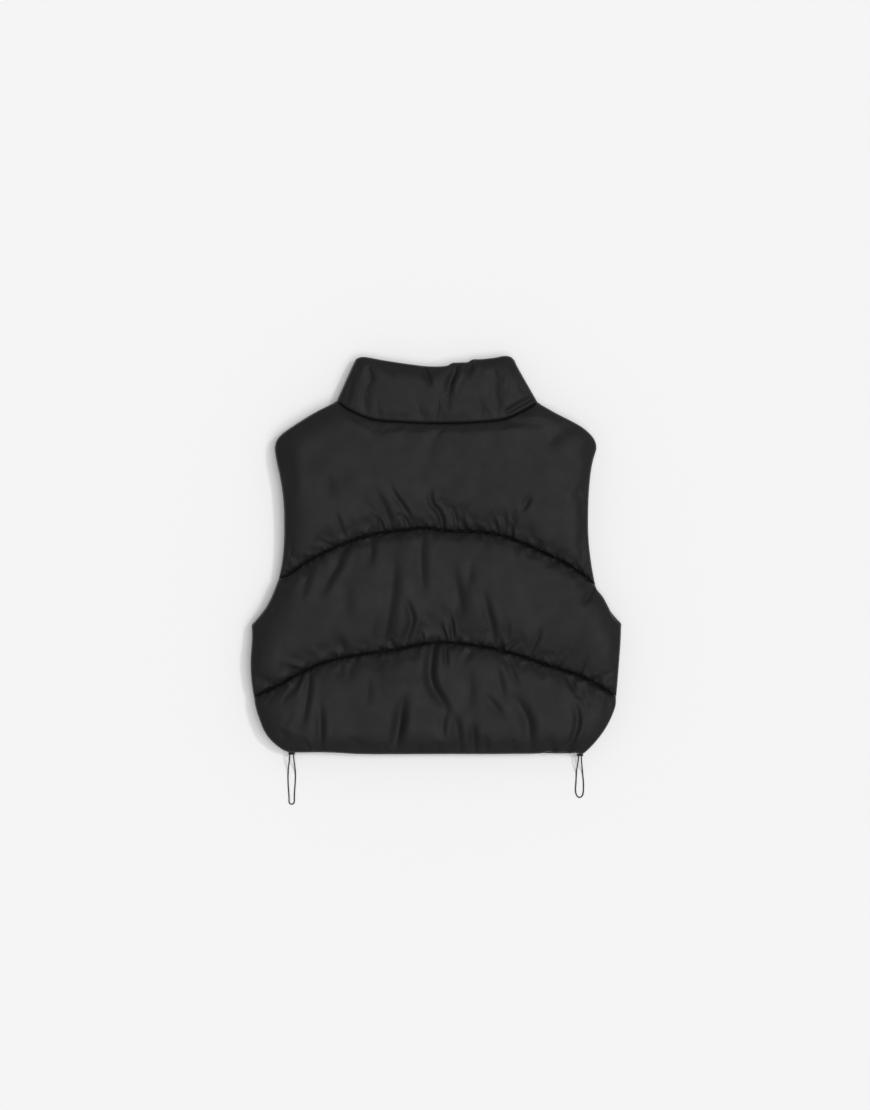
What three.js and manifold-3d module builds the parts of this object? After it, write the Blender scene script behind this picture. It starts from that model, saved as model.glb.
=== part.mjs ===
// A puffer vest laid flat on its front with its back upwards, at real size in millimetres.
// X runs across the chest, Y from the hem to the collar and Z up from the floor.
// The wearer's left side is at negative X. The origin is on the floor under the middle.

import * as THREE from "three";
import * as BufferGeometryUtils from "three/addons/utils/BufferGeometryUtils.js";
import Module from "manifold-3d";

// Layers from the floor up. The fronts lie pressed on the floor and the back lies on them.
const SEAM_GAP = 0.3;
const FRONT_TOP = 18;
const BACK_BASE = FRONT_TOP + SEAM_GAP;
const MID_LAYER = FRONT_TOP + SEAM_GAP / 2;

// Thickness of the filled cloth at a sewn edge, and how much the filling adds inside it
const EDGE_THICKNESS = 4.5;
const THINNEST = 3;
const BACK_LOFT = 24;
const FRONT_LOFT = 20;
const COLLAR_LOFT = 16;

// Distance from an edge at which the filling has risen to its full height
const SEAM_REACH = 58;
const RIM_REACH = 38;
const COLLAR_REACH = 27;

// Grid of the cloth: fine steps beside each edge, then a pitch
const RIM_STEPS = [0, 2, 6, 13, 22];
const BACK_PITCH = 11.5;
const FRONT_PITCH = 24;
const ROW_PITCH = 14;
const FRONT_ROW_PITCH = 20;
const COLLAR_ROW_STEPS = [0, 3, 9, 20, 41];

// An edge is measured on this many chords, and its direction over this share of its length
const EDGE_SAMPLES = 120;
const TANGENT_STEP = 0.002;

// Centre front
const FRONT_EDGE_X = 7;
const COLLAR_FRONT_Y = 233;
const NECK_FRONT_Y = 150;
const HEM_FRONT_Y = -277;

// Corners of the outline in plan, x and y
const NECK_LEFT = [-139, 215];
const NECK_RIGHT = [141, 213.5];
const SHOULDER_LEFT = [-226.5, 151];
const SHOULDER_RIGHT = [224, 148.4];
const UNDERARM_LEFT = [-258.3, -98];
const UNDERARM_RIGHT = [258.3, -96];
const SEAM_ONE_LEFT = [-220.5, -33];
const SEAM_ONE_RIGHT = [222, -42];
const SEAM_TWO_LEFT = [-255.5, -198];
const SEAM_TWO_RIGHT = [251.3, -198];
const HEM_LEFT = [-206.5, -276.5];
const HEM_RIGHT = [205, -278.5];
const COLLAR_LEFT = [-111.5, 275];
const COLLAR_RIGHT = [108.5, 273];

// Zip, cord and outlet sizes
const TAPE_HALF_GAP = 0.15;
const TAPE_THICKNESS = 1.2;
const TAPE_BASE = 14.9;
const TAPE_TOP_Y = COLLAR_FRONT_Y - 2;
const SLIDER = { y: 222, width: 9.6, length: 13, plate: 1.2, corner: 2.5 };
const POST = { width: 3, length: 3, forward: 3.5 };
const PIVOT_DROP = 2.2;
const BAIL = { width: 1.6, wire: 1.2, halfSpan: 2.6, clearance: 1.3, innerCut: 0.8, outerCut: 1.4 };
const PULL = { length: 29.3, width: 6.4, tipWidth: 5, thickness: 1.4, tipCut: 1.5 };
const PULL_HOLE = { width: 4.4, length: 5.2, margin: 1 };
const BOX = { width: 11.2, length: 8.2, height: 3.8, corner: 1 };
const OUTLET = { width: 9, depth: 3, height: 4.4, corner: 1.2 };
const CORD_DIAMETER = 1.8;
const CORD_QUARTER_SIDES = 4;
const CORD_STEPS = 46;

// The outline's curves in plan, x and y, each run from left to right or from bottom to top
const CURVES = {
  shoulderLeft: [SHOULDER_LEFT, [-224, 159.6], [-219, 166.6], [-204, 178], [-169, 200], NECK_LEFT],
  neckBack: [
    NECK_LEFT, [-128, 206], [-93, 190], [-51, 185.5], [5, 183.5],
    [61, 185.5], [96, 190], [131, 206.5], NECK_RIGHT,
  ],
  shoulderRight: [NECK_RIGHT, [164.5, 200], [205, 178], [219, 164.5], [223, 156.8], SHOULDER_RIGHT],
  armholeLeft: [
    SEAM_ONE_LEFT, [-216.3, -12.6], [-213.5, 14], [-213, 43],
    [-214, 74], [-217.7, 102], [-225.4, 140], SHOULDER_LEFT,
  ],
  armholeRight: [
    SEAM_ONE_RIGHT, [218.4, -24], [215, -1.4], [212.4, 28],
    [213, 84], [217.7, 126], SHOULDER_RIGHT,
  ],
  underarmLeft: [UNDERARM_LEFT, [-252.7, -91], [-240, -76], [-230, -57], SEAM_ONE_LEFT],
  underarmRight: [UNDERARM_RIGHT, [248.5, -87.5], [244.3, -79.8], [231.7, -56.7], [225, -49], SEAM_ONE_RIGHT],
  sideLeft: [SEAM_TWO_LEFT, [-257, -189], [-259.7, -164], [-259.7, -140], [-258, -119], UNDERARM_LEFT],
  sideRight: [SEAM_TWO_RIGHT, [253.4, -175], [255.5, -147], [257.6, -119], UNDERARM_RIGHT],
  tailLeft: [HEM_LEFT, [-216.3, -272], [-233, -257.6], [-241.5, -245], [-252.7, -214], SEAM_TWO_LEFT],
  tailRight: [HEM_RIGHT, [210.7, -273.7], [223.3, -260.4], [238.7, -238.7], [250.3, -211.4], SEAM_TWO_RIGHT],
  seamOne: [
    SEAM_ONE_LEFT, [-205, -26], [-181, -9], [-160, 2], [-129, 16], [-94.5, 28], [-44, 35], [-17.5, 37.8],
    [14, 33.6], [59.5, 32.2], [94, 26], [125.3, 14], [188.3, -16.8], SEAM_ONE_RIGHT,
  ],
  seamTwo: [
    SEAM_TWO_LEFT, [-222, -182], [-189.7, -163.8], [-157.5, -149.8], [-121, -141], [-57.3, -131.6],
    [-14.7, -123.2], [10.5, -121.8], [68, -128.4], [117.7, -141], [153.3, -153.4], [206.5, -171.5],
    SEAM_TWO_RIGHT,
  ],
  hem: [
    HEM_LEFT, [-149, -276.5], [-107, -278.6], [19, -278.6], [89, -278.6], [145, -277.6], [160.3, -275.8],
    [168.7, -278.2], [177, -276.5], [185.5, -278], [192.5, -276.4], [198, -278.4], HEM_RIGHT,
  ],
  collarSideLeft: [NECK_LEFT, [-115.5, 267.4], COLLAR_LEFT],
  collarSideRight: [NECK_RIGHT, [111, 267], COLLAR_RIGHT],
  collarTop: [
    COLLAR_LEFT, [-104.3, 277.2], [-71, 272], [-37, 267], [-9, 264], [15, 265], [22, 268.6], [33, 269.5],
    [44, 270], [50, 273.6], [61, 274], [80.5, 276], [96, 278.6], [104, 277], COLLAR_RIGHT,
  ],
  neckFrontLeft: [NECK_LEFT, [-118, 190], [-85, 168], [-45, 154], [-FRONT_EDGE_X, NECK_FRONT_Y]],
  neckFrontRight: [[FRONT_EDGE_X, NECK_FRONT_Y], [45, 154], [85, 168], [119, 190], NECK_RIGHT],
  collarTopFrontLeft: [COLLAR_LEFT, [-80, 258], [-45, 240], [-FRONT_EDGE_X, COLLAR_FRONT_Y]],
  collarTopFrontRight: [[FRONT_EDGE_X, COLLAR_FRONT_Y], [45, 240], [80, 258], COLLAR_RIGHT],
};

// Creases pressed into the filling: the line each one follows in plan, its depth and its width
const CREASES = {
  upper: [
    { line: [[-7, 92], [-2, 67], [14, 31]], depth: 9, width: 8 },
    { line: [[-62, 113], [-24, 43]], depth: 5, width: 8 },
    { line: [[20, 64], [52, 33]], depth: 8, width: 8 },
    { line: [[73, 50], [87, 29]], depth: 7, width: 7 },
    { line: [[89, 57], [106, 33]], depth: 6, width: 7 },
    { line: [[136, 85], [111, 36]], depth: 4, width: 10 },
    { line: [[-87, 92], [-65, 57]], depth: 4, width: 8 },
    { line: [[-82, 53], [-66, 31]], depth: 7, width: 7 },
    { line: [[-139, 57], [-122, 29]], depth: 6, width: 7 },
    { line: [[-200, 140], [-195, 77]], depth: 4, width: 10 },
    { line: [[181, 175], [156, 154]], depth: 4, width: 11 },
  ],
  middle: [
    { line: [[-125, 8], [-135, -14], [-160, -67]], depth: 7, width: 9 },
    { line: [[-178, -14], [-208, -42]], depth: 6, width: 8 },
    { line: [[-17, 29], [-17, -1], [-26, -35]], depth: 6, width: 12 },
    { line: [[-43, -60], [-29, -84], [-22, -111]], depth: 7, width: 8 },
    { line: [[29, -35], [39, -78], [36, -99]], depth: 6, width: 8 },
    { line: [[17, -90], [27, -118]], depth: 6, width: 7 },
    { line: [[64, -50], [76, -82], [82, -129]], depth: 9, width: 8 },
    { line: [[-153, -121], [-132, -139]], depth: 6, width: 8 },
    { line: [[-87, 20], [-85, -8]], depth: 6, width: 8 },
    { line: [[199, -67], [216, -57]], depth: 4, width: 8 },
  ],
  lower: [
    { line: [[-180, -161], [-198, -193]], depth: 6, width: 8 },
    { line: [[-161, -200], [-155, -235], [-161, -264]], depth: 5, width: 9 },
    { line: [[-41, -189], [-47, -228], [-54, -271]], depth: 9, width: 8 },
    { line: [[-5, -135], [-3, -164], [17, -200], [23, -221], [29, -257]], depth: 9, width: 11 },
    { line: [[68, -193], [93, -225]], depth: 6, width: 8 },
    { line: [[111, -189], [128, -218], [134, -257]], depth: 8, width: 9 },
    { line: [[182, -182], [198, -207], [198, -235], [189, -257]], depth: 6, width: 10 },
    { line: [[-178, -260], [-164, -274]], depth: 4, width: 7 },
    { line: [[-75, -265], [-64, -277]], depth: 4, width: 7 },
    { line: [[153, -262], [154, -276]], depth: 5, width: 6 },
    { line: [[171, -262], [171, -276]], depth: 5, width: 6 },
    { line: [[190, -262], [191, -276]], depth: 5, width: 6 },
  ],
  collar: [
    { line: [[-19, 263], [-9, 238]], depth: 6, width: 7 },
    { line: [[33, 266], [19, 235]], depth: 6, width: 7 },
    { line: [[54, 272], [45, 251]], depth: 5, width: 6 },
    { line: [[-96, 263], [-85, 245]], depth: 3, width: 8 },
    { line: [[135, 217], [110, 199]], depth: 5, width: 7 },
  ],
};

// Routes of the two hem cord loops, x, y and z of the cord's middle
const LEFT_LOOP = [
  [-205.6, -280.1, 15.8], [-205.9, -284.6, 15.3], [-206.5, -289.4, 13.2], [-207.3, -294.4, 9.4],
  [-208.0, -299.6, 5.2], [-208.5, -305.2, 2.2], [-208.8, -311.5, 1.1], [-208.7, -319.0, 1.0],
  [-208.3, -327.0, 1.0], [-207.7, -335.0, 1.0], [-207.3, -342.0, 1.0], [-207.25, -346.9, 1.0],
  [-206.2, -349.5, 1.0], [-203.6, -350.6, 1.0], [-201.0, -349.5, 1.0], [-199.95, -346.9, 1.0],
  [-199.9, -341.0, 1.0], [-199.6, -333.0, 1.0], [-199.0, -325.0, 1.0], [-198.5, -317.0, 1.0],
  [-198.3, -310.5, 1.2], [-198.5, -304.6, 2.4], [-198.8, -299.2, 5.4], [-199.2, -294.2, 9.5],
  [-199.6, -289.3, 13.2], [-200.0, -284.6, 15.3], [-200.2, -280.1, 15.8],
];
const RIGHT_LOOP = [
  [199.0, -282.1, 15.8], [198.8, -286.4, 15.3], [198.3, -291.0, 13.2], [197.7, -295.8, 9.4],
  [197.2, -300.8, 5.2], [196.8, -306.2, 2.2], [196.6, -312.0, 1.1], [196.3, -319.0, 1.0],
  [195.8, -326.0, 1.0], [195.7, -332.0, 1.0], [196.6, -336.6, 1.0], [198.6, -339.8, 1.0],
  [201.2, -341.0, 1.0], [203.9, -340.0, 1.0], [205.9, -336.6, 1.0], [206.7, -331.5, 1.0],
  [206.9, -325.0, 1.0], [206.6, -318.0, 1.0], [206.0, -311.5, 1.1], [205.4, -305.8, 2.2],
  [204.8, -300.4, 5.2], [204.1, -295.6, 9.4], [203.5, -290.8, 13.2], [203.1, -286.3, 15.3],
  [202.9, -282.1, 15.8],
];
const OUTLETS = [
  { name: "cord_outlet_left", x: -203, hemY: HEM_LEFT[1], loop: LEFT_LOOP, cord: "cord_loop_left" },
  { name: "cord_outlet_right", x: 201, hemY: HEM_RIGHT[1], loop: RIGHT_LOOP, cord: "cord_loop_right" },
];

const shellCloth = new THREE.MeshStandardMaterial({ color: 0x2b2b2e, roughness: 0.7, metalness: 0 });
const tapeCloth = new THREE.MeshStandardMaterial({ color: 0x18181a, roughness: 0.85, metalness: 0 });
const cordCloth = new THREE.MeshStandardMaterial({ color: 0x141416, roughness: 0.8, metalness: 0 });
const zipMetal = new THREE.MeshStandardMaterial({ color: 0x3c3c40, roughness: 0.4, metalness: 0.9 });

const vest = new THREE.Group();
vest.name = "puffer_vest";

function addPart(name, geometry, material) {
  const mesh = new THREE.Mesh(geometry, material);
  mesh.name = name;
  vest.add(mesh);
  return mesh;
}

function smoothCurve(rows) {
  const points = rows.map(([x, y, z = 0]) => new THREE.Vector3(x, y, z));
  return new THREE.CatmullRomCurve3(points, false, "centripetal");
}

const curves = Object.fromEntries(Object.entries(CURVES).map(([name, rows]) => [name, smoothCurve(rows)]));

// The share of a seam's length at which it crosses a given x
function shareAtX(curve, x) {
  let low = 0;
  let high = 1;
  for (let step = 0; step < 40; step += 1) {
    const middle = (low + high) / 2;
    if (curve.getPointAt(middle).x < x) low = middle;
    else high = middle;
  }
  return (low + high) / 2;
}

// One edge of a panel: stretches joined end to end, each with its curve and the part of it used.
// The joins say where along the edge, from 0 to 1, one stretch gives way to the next.
function makeEdge(reach, stretches, joins = []) {
  const marks = [0, ...joins, 1];
  const at = (share) => {
    const found = marks.findIndex((mark, index) => index > 0 && share <= mark + 1e-9);
    const index = found < 0 ? stretches.length - 1 : found - 1;
    const { curve, from = 0, to = 1 } = stretches[index];
    const local = (share - marks[index]) / (marks[index + 1] - marks[index]);
    return curve.getPointAt(THREE.MathUtils.clamp(from + (to - from) * local, 0, 1));
  };
  const line = Array.from({ length: EDGE_SAMPLES + 1 }, (_, index) => at(index / EDGE_SAMPLES));
  return { reach, at, line };
}

// An edge's point moved sideways in plan by half the seam gap, to the left of its direction
function besideEdge(edge, share, side) {
  const before = edge.at(Math.max(share - TANGENT_STEP, 0));
  const after = edge.at(Math.min(share + TANGENT_STEP, 1));
  const along = after.sub(before).normalize();
  const shift = (side * SEAM_GAP) / 2;
  return edge.at(share).add(new THREE.Vector3(-along.y * shift, along.x * shift, 0));
}

// A point in plan between four edges, u from left to right and v from bottom to top
function makePatch({ bottom, top, left, right }) {
  const corners = [left.at(0), right.at(0), left.at(1), right.at(1)];
  return (u, v) => {
    const point = new THREE.Vector3();
    point.addScaledVector(besideEdge(bottom, u, 1), 1 - v);
    point.addScaledVector(besideEdge(top, u, -1), v);
    point.addScaledVector(left.at(v), 1 - u);
    point.addScaledVector(right.at(v), u);
    point.addScaledVector(corners[0], -(1 - u) * (1 - v));
    point.addScaledVector(corners[1], -u * (1 - v));
    point.addScaledVector(corners[2], -(1 - u) * v);
    point.addScaledVector(corners[3], -u * v);
    return point;
  };
}

function distanceTo(line, point) {
  let nearest = Infinity;
  for (let index = 1; index < line.length; index += 1) {
    const from = line[index - 1];
    const runX = line[index].x - from.x;
    const runY = line[index].y - from.y;
    const along = ((point.x - from.x) * runX + (point.y - from.y) * runY) / (runX ** 2 + runY ** 2 || 1);
    const share = THREE.MathUtils.clamp(along, 0, 1);
    const away = Math.hypot(point.x - from.x - share * runX, point.y - from.y - share * runY);
    nearest = Math.min(nearest, away);
  }
  return nearest;
}

// How full the filling is at a point, from 0 on any edge to 1 beyond every edge's reach
function fullness(edges, point) {
  return Object.values(edges).reduce((share, edge) => {
    const away = (distanceTo(edge.line, point) - SEAM_GAP / 2) / edge.reach;
    const rise = THREE.MathUtils.clamp(away, 0, 1);
    return share * Math.sqrt(1 - (1 - rise) ** 2);
  }, 1);
}

function creaseLines(rows) {
  return rows.map((row) => ({ ...row, line: row.line.map(([x, y]) => new THREE.Vector3(x, y, 0)) }));
}

function thicknessAt(edges, loft, creases, point) {
  const full = fullness(edges, point);
  const pressed = creases.reduce((sum, crease) => {
    const away = distanceTo(crease.line, point) / crease.width;
    return sum + crease.depth * Math.exp(-(away ** 2));
  }, 0);
  return Math.max(EDGE_THICKNESS + loft * full - pressed * Math.sqrt(full), THINNEST);
}

// Distances along one stretch of an edge: fine beside the ends that ask for it, then one pitch
function stretchSteps({ length, pitch, fine }) {
  const start = fine === "end" ? [0] : RIM_STEPS;
  const end = fine === "start" ? [length] : RIM_STEPS.map((step) => length - step).reverse();
  const from = start.at(-1);
  const middle = end[0] - from;
  const count = Math.round(middle / pitch);
  const inner = Array.from({ length: count - 1 }, (_, index) => from + (middle * (index + 1)) / count);
  return [...start, ...inner, ...end];
}

// The grid's shares of a whole edge, from 0 to 1, and the shares at which its stretches join
function makeStations(stretches) {
  const total = stretches.reduce((sum, { length }) => sum + length, 0);
  const shares = [0];
  const joins = [];
  let passed = 0;
  stretches.forEach((stretch) => {
    stretchSteps(stretch).slice(1).forEach((step) => shares.push((passed + step) / total));
    passed += stretch.length;
    joins.push(passed / total);
  });
  return { shares, joins: joins.slice(0, -1) };
}

// The indices of a grid's rim, once around, anticlockwise seen from its outer side
function rimOf(columns, rows) {
  const rim = [];
  for (let i = 0; i < columns - 1; i += 1) rim.push([i, 0]);
  for (let j = 0; j < rows - 1; j += 1) rim.push([columns - 1, j]);
  for (let i = columns - 1; i > 0; i -= 1) rim.push([i, rows - 1]);
  for (let j = rows - 1; j > 0; j -= 1) rim.push([0, j]);
  return rim;
}

function gridFaces(columns, rows, indexOf) {
  const faces = [];
  for (let i = 0; i < columns - 1; i += 1) {
    for (let j = 0; j < rows - 1; j += 1) {
      const corners = [indexOf(i, j), indexOf(i + 1, j), indexOf(i + 1, j + 1), indexOf(i, j + 1)];
      faces.push([corners[0], corners[1], corners[2]], [corners[0], corners[2], corners[3]]);
    }
  }
  return faces;
}

function wallFaces(outerRim, innerRim) {
  return outerRim.flatMap((outer, index) => {
    const next = (index + 1) % outerRim.length;
    return [
      [innerRim[index], innerRim[next], outerRim[next]],
      [innerRim[index], outerRim[next], outer],
    ];
  });
}

function reversed(faces) {
  return faces.map(([a, b, c]) => [a, c, b]);
}

function meshGeometry(points, faces) {
  const geometry = new THREE.BufferGeometry();
  geometry.setAttribute("position", new THREE.Float32BufferAttribute(points.flatMap((p) => p.toArray()), 3));
  geometry.setIndex(faces.flat());
  geometry.computeVertexNormals();
  return geometry;
}

// How far around the unit square a rim point lies, from 0 to 4
function aroundSquare(u, v) {
  if (v === 0) return u;
  if (u === 1) return 1 + v;
  if (v === 1) return 3 - u;
  return 4 - v;
}

// Triangles of a flat ring between an outer loop and an inner loop, each point with its place around
function ringFaces(outer, inner) {
  const faces = [];
  let i = 0;
  let j = 0;
  while (i < outer.length || j < inner.length) {
    const outerNext = i + 1 < outer.length ? outer[i + 1].around : 4;
    const innerNext = j + 1 < inner.length ? inner[j + 1].around : 4;
    const takeOuter = j >= inner.length || (i < outer.length && outerNext <= innerNext);
    const outerPoint = outer[i % outer.length].index;
    const innerPoint = inner[j % inner.length].index;
    if (takeOuter) {
      faces.push([outerPoint, outer[(i + 1) % outer.length].index, innerPoint]);
      i += 1;
    } else {
      faces.push([outerPoint, inner[(j + 1) % inner.length].index, innerPoint]);
      j += 1;
    }
  }
  return faces;
}

// One padded panel: a crowned outer side over a plain flat inner side at the given height.
// Facing is 1 where the outer side is up and -1 where it is down on the floor.
const PLAIN_INSET = 0.14;
function panelGeometry({ edges, across, up, base, facing, loft, creases, plainCells }) {
  const patch = makePatch(edges);
  const lines = creaseLines(creases);
  const rows = up.length;
  const points = [];
  across.forEach((u) => up.forEach((v) => {
    const point = patch(u, v);
    point.z = Math.max(base + facing * thicknessAt(edges, loft, lines, point), 0);
    points.push(point);
  }));
  const outerIndex = (i, j) => i * rows + j;
  const rim = rimOf(across.length, rows);
  const outerRim = rim.map(([i, j]) => outerIndex(i, j));
  const innerRim = rim.map(([i, j]) => {
    const { x, y } = points[outerIndex(i, j)];
    return { index: points.push(new THREE.Vector3(x, y, base)) - 1, around: aroundSquare(across[i], up[j]) };
  });
  const plainStart = points.length;
  const plainShare = (index, cells) => PLAIN_INSET + (1 - 2 * PLAIN_INSET) * (index / cells);
  for (let i = 0; i <= plainCells[0]; i += 1) {
    for (let j = 0; j <= plainCells[1]; j += 1) {
      const point = patch(plainShare(i, plainCells[0]), plainShare(j, plainCells[1]));
      points.push(new THREE.Vector3(point.x, point.y, base));
    }
  }
  const plainIndex = (i, j) => plainStart + i * (plainCells[1] + 1) + j;
  const plainRim = rimOf(plainCells[0] + 1, plainCells[1] + 1).map(([i, j]) => {
    return { index: plainIndex(i, j), around: aroundSquare(i / plainCells[0], j / plainCells[1]) };
  });
  const inner = [
    ...ringFaces(innerRim, plainRim),
    ...gridFaces(plainCells[0] + 1, plainCells[1] + 1, plainIndex),
  ];
  const walls = wallFaces(outerRim, innerRim.map(({ index }) => index));
  const faces = [...gridFaces(across.length, rows, outerIndex), ...walls, ...reversed(inner)];
  return meshGeometry(points, facing > 0 ? faces : reversed(faces));
}

const whole = (name) => ({ curve: curves[name] });

// Nominal runs of the grid: across by the shoulders and the neck, up by the side and the armhole
const SHOULDER_RUN = 94;
const NECK_BACK_RUN = 292;
const NECK_FRONT_RUN = 141;
const SIDE_RUN = 96;
const UNDERARM_RUN = 69;
function rowStations(level, pitch) {
  if (level !== "middle") return makeStations([{ length: SIDE_RUN + UNDERARM_RUN, pitch, fine: "both" }]);
  return makeStations([
    { length: SIDE_RUN, pitch, fine: "start" },
    { length: UNDERARM_RUN, pitch, fine: "end" },
  ]);
}
const underarmJoins = rowStations("middle", ROW_PITCH).joins;

const sideEdges = {
  upperLeft: makeEdge(RIM_REACH, [whole("armholeLeft")]),
  upperRight: makeEdge(RIM_REACH, [whole("armholeRight")]),
  middleLeft: makeEdge(RIM_REACH, [whole("sideLeft"), whole("underarmLeft")], underarmJoins),
  middleRight: makeEdge(RIM_REACH, [whole("sideRight"), whole("underarmRight")], underarmJoins),
  lowerLeft: makeEdge(RIM_REACH, [whole("tailLeft")]),
  lowerRight: makeEdge(RIM_REACH, [whole("tailRight")]),
};

// Back: three padded panels between the side edges
const backStations = makeStations([
  { length: SHOULDER_RUN, pitch: BACK_PITCH, fine: "start" },
  { length: NECK_BACK_RUN, pitch: BACK_PITCH, fine: "both" },
  { length: SHOULDER_RUN, pitch: BACK_PITCH, fine: "end" },
]);
const backShape = {
  base: BACK_BASE,
  facing: 1,
  loft: BACK_LOFT,
  plainCells: [8, 4],
  across: backStations.shares,
};
const backNeck = makeEdge(
  RIM_REACH,
  [whole("shoulderLeft"), whole("neckBack"), whole("shoulderRight")],
  backStations.joins,
);
const seamEdge = (name, from = 0, to = 1) => makeEdge(SEAM_REACH, [{ curve: curves[name], from, to }]);
const backPanels = {
  upper: { bottom: seamEdge("seamOne"), top: backNeck },
  middle: { bottom: seamEdge("seamTwo"), top: seamEdge("seamOne") },
  lower: { bottom: makeEdge(RIM_REACH, [whole("hem")]), top: seamEdge("seamTwo") },
};
Object.entries(backPanels).forEach(([level, ends]) => {
  const edges = { ...ends, left: sideEdges[`${level}Left`], right: sideEdges[`${level}Right`] };
  const up = rowStations(level, ROW_PITCH).shares;
  const geometry = panelGeometry({ ...backShape, edges, up, creases: CREASES[level] });
  addPart(`back_${level}`, geometry, shellCloth);
});

// Fronts: three padded panels on each side of the zip, under the same outline
const frontEdgeLine = (x, fromY, toY) => smoothCurve([[x, fromY], [x, (fromY + toY) / 2], [x, toY]]);
const frontSides = [
  { side: "left", edgeX: -FRONT_EDGE_X, neck: "neckFrontLeft", shoulder: "shoulderLeft" },
  { side: "right", edgeX: FRONT_EDGE_X, neck: "neckFrontRight", shoulder: "shoulderRight" },
];
frontSides.forEach(({ side, edgeX, neck, shoulder }) => {
  const isLeft = side === "left";
  const shoulderStretch = { length: SHOULDER_RUN, pitch: FRONT_PITCH, fine: isLeft ? "start" : "end" };
  const neckStretch = { length: NECK_FRONT_RUN, pitch: FRONT_PITCH, fine: "both" };
  const inOrder = (outer, inner) => (isLeft ? [outer, inner] : [inner, outer]);
  const frontStations = makeStations(inOrder(shoulderStretch, neckStretch));
  const half = (name, reach) => {
    const centre = shareAtX(curves[name], edgeX);
    const range = isLeft ? { from: 0, to: centre } : { from: centre, to: 1 };
    return makeEdge(reach, [{ curve: curves[name], ...range }]);
  };
  const neckEdge = makeEdge(RIM_REACH, inOrder(whole(shoulder), whole(neck)), frontStations.joins);
  const ends = {
    upper: { bottom: half("seamOne", SEAM_REACH), top: neckEdge },
    middle: { bottom: half("seamTwo", SEAM_REACH), top: half("seamOne", SEAM_REACH) },
    lower: { bottom: half("hem", RIM_REACH), top: half("seamTwo", SEAM_REACH) },
  };
  Object.entries(ends).forEach(([level, { bottom, top }]) => {
    const inner = isLeft ? 1 : 0;
    const line = frontEdgeLine(edgeX, bottom.at(inner).y, top.at(inner).y);
    const zipEdge = makeEdge(RIM_REACH, [{ curve: line }]);
    const [left, right] = inOrder(sideEdges[`${level}${isLeft ? "Left" : "Right"}`], zipEdge);
    const geometry = panelGeometry({
      edges: { bottom, top, left, right },
      across: frontStations.shares,
      up: rowStations(level, FRONT_ROW_PITCH).shares,
      base: FRONT_TOP,
      facing: -1,
      loft: FRONT_LOFT,
      creases: [],
      plainCells: [4, 4],
    });
    addPart(`front_${side}_${level}`, geometry, shellCloth);
  });
});

// Collar: one padded wall from the zip round the neck to the zip, folded flat at both sides
const COLLAR_FOLD = { inset: 6, slope: 0.6, bulge: 1.6 };
const COLLAR_HEIGHT = 82;
function collarRows() {
  const lower = COLLAR_ROW_STEPS.map((step) => step / COLLAR_HEIGHT);
  const upper = lower.slice(0, -1).map((share) => 1 - share).reverse();
  return [...lower, ...upper];
}

function collarColumns({ edges, width, pitch, facing, foldShares, backwards, creases }) {
  const patch = makePatch(edges);
  const { shares } = makeStations([{ length: width, pitch, fine: "both" }]);
  const inset = COLLAR_FOLD.inset / width;
  const insetShare = (u) => {
    const fromLeft = foldShares.includes(0) ? Math.max(u, inset + COLLAR_FOLD.slope * u) : u;
    const fromRight = Math.max(1 - u, inset + COLLAR_FOLD.slope * (1 - u));
    return foldShares.includes(1) && u > 0.5 ? 1 - fromRight : fromLeft;
  };
  const base = facing > 0 ? BACK_BASE : FRONT_TOP;
  const lines = creaseLines(creases);
  const columns = shares.map((u) => ({
    outer: collarRows().map((v) => {
      const point = patch(u, v);
      point.z = Math.max(base + facing * thicknessAt(edges, COLLAR_LOFT, lines, point), 0);
      return point;
    }),
    inner: collarRows().map((v) => {
      const point = patch(insetShare(u), v);
      point.z = base;
      return point;
    }),
  }));
  return backwards ? columns.reverse() : columns;
}

// The column round the outside of a fold, halfway up, pushed out along the row that it ends
function foldColumn(edges, share) {
  const patch = makePatch(edges);
  const inset = COLLAR_FOLD.inset / NECK_BACK_RUN;
  const inner = collarRows().map((v) => patch(Math.abs(share - inset), v).setZ(MID_LAYER));
  const outer = collarRows().map((v, row) => {
    const rim = patch(share, v).setZ(MID_LAYER);
    const outward = rim.clone().sub(inner[row]).setLength(COLLAR_FOLD.bulge);
    return rim.add(outward);
  });
  return { outer, inner };
}

const collarEdge = (name) => makeEdge(COLLAR_REACH, [whole(name)]);
const collarZipEdge = (x) => makeEdge(RIM_REACH, [{ curve: frontEdgeLine(x, NECK_FRONT_Y, COLLAR_FRONT_Y) }]);
const collarBackEdges = {
  bottom: collarEdge("neckBack"),
  top: collarEdge("collarTop"),
  left: collarEdge("collarSideLeft"),
  right: collarEdge("collarSideRight"),
};
const collarLeftEdges = {
  bottom: collarEdge("neckFrontLeft"),
  top: collarEdge("collarTopFrontLeft"),
  left: collarEdge("collarSideLeft"),
  right: collarZipEdge(-FRONT_EDGE_X),
};
const collarRightEdges = {
  bottom: collarEdge("neckFrontRight"),
  top: collarEdge("collarTopFrontRight"),
  left: collarZipEdge(FRONT_EDGE_X),
  right: collarEdge("collarSideRight"),
};

const frontPart = { width: NECK_FRONT_RUN, pitch: FRONT_PITCH, facing: -1, backwards: true, creases: [] };
const collarWall = [
  ...collarColumns({ ...frontPart, edges: collarLeftEdges, foldShares: [0] }),
  foldColumn(collarBackEdges, 0),
  ...collarColumns({
    edges: collarBackEdges,
    width: NECK_BACK_RUN,
    pitch: BACK_PITCH,
    facing: 1,
    foldShares: [0, 1],
    backwards: false,
    creases: CREASES.collar,
  }),
  foldColumn(collarBackEdges, 1),
  ...collarColumns({ ...frontPart, edges: collarRightEdges, foldShares: [1] }),
];

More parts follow.
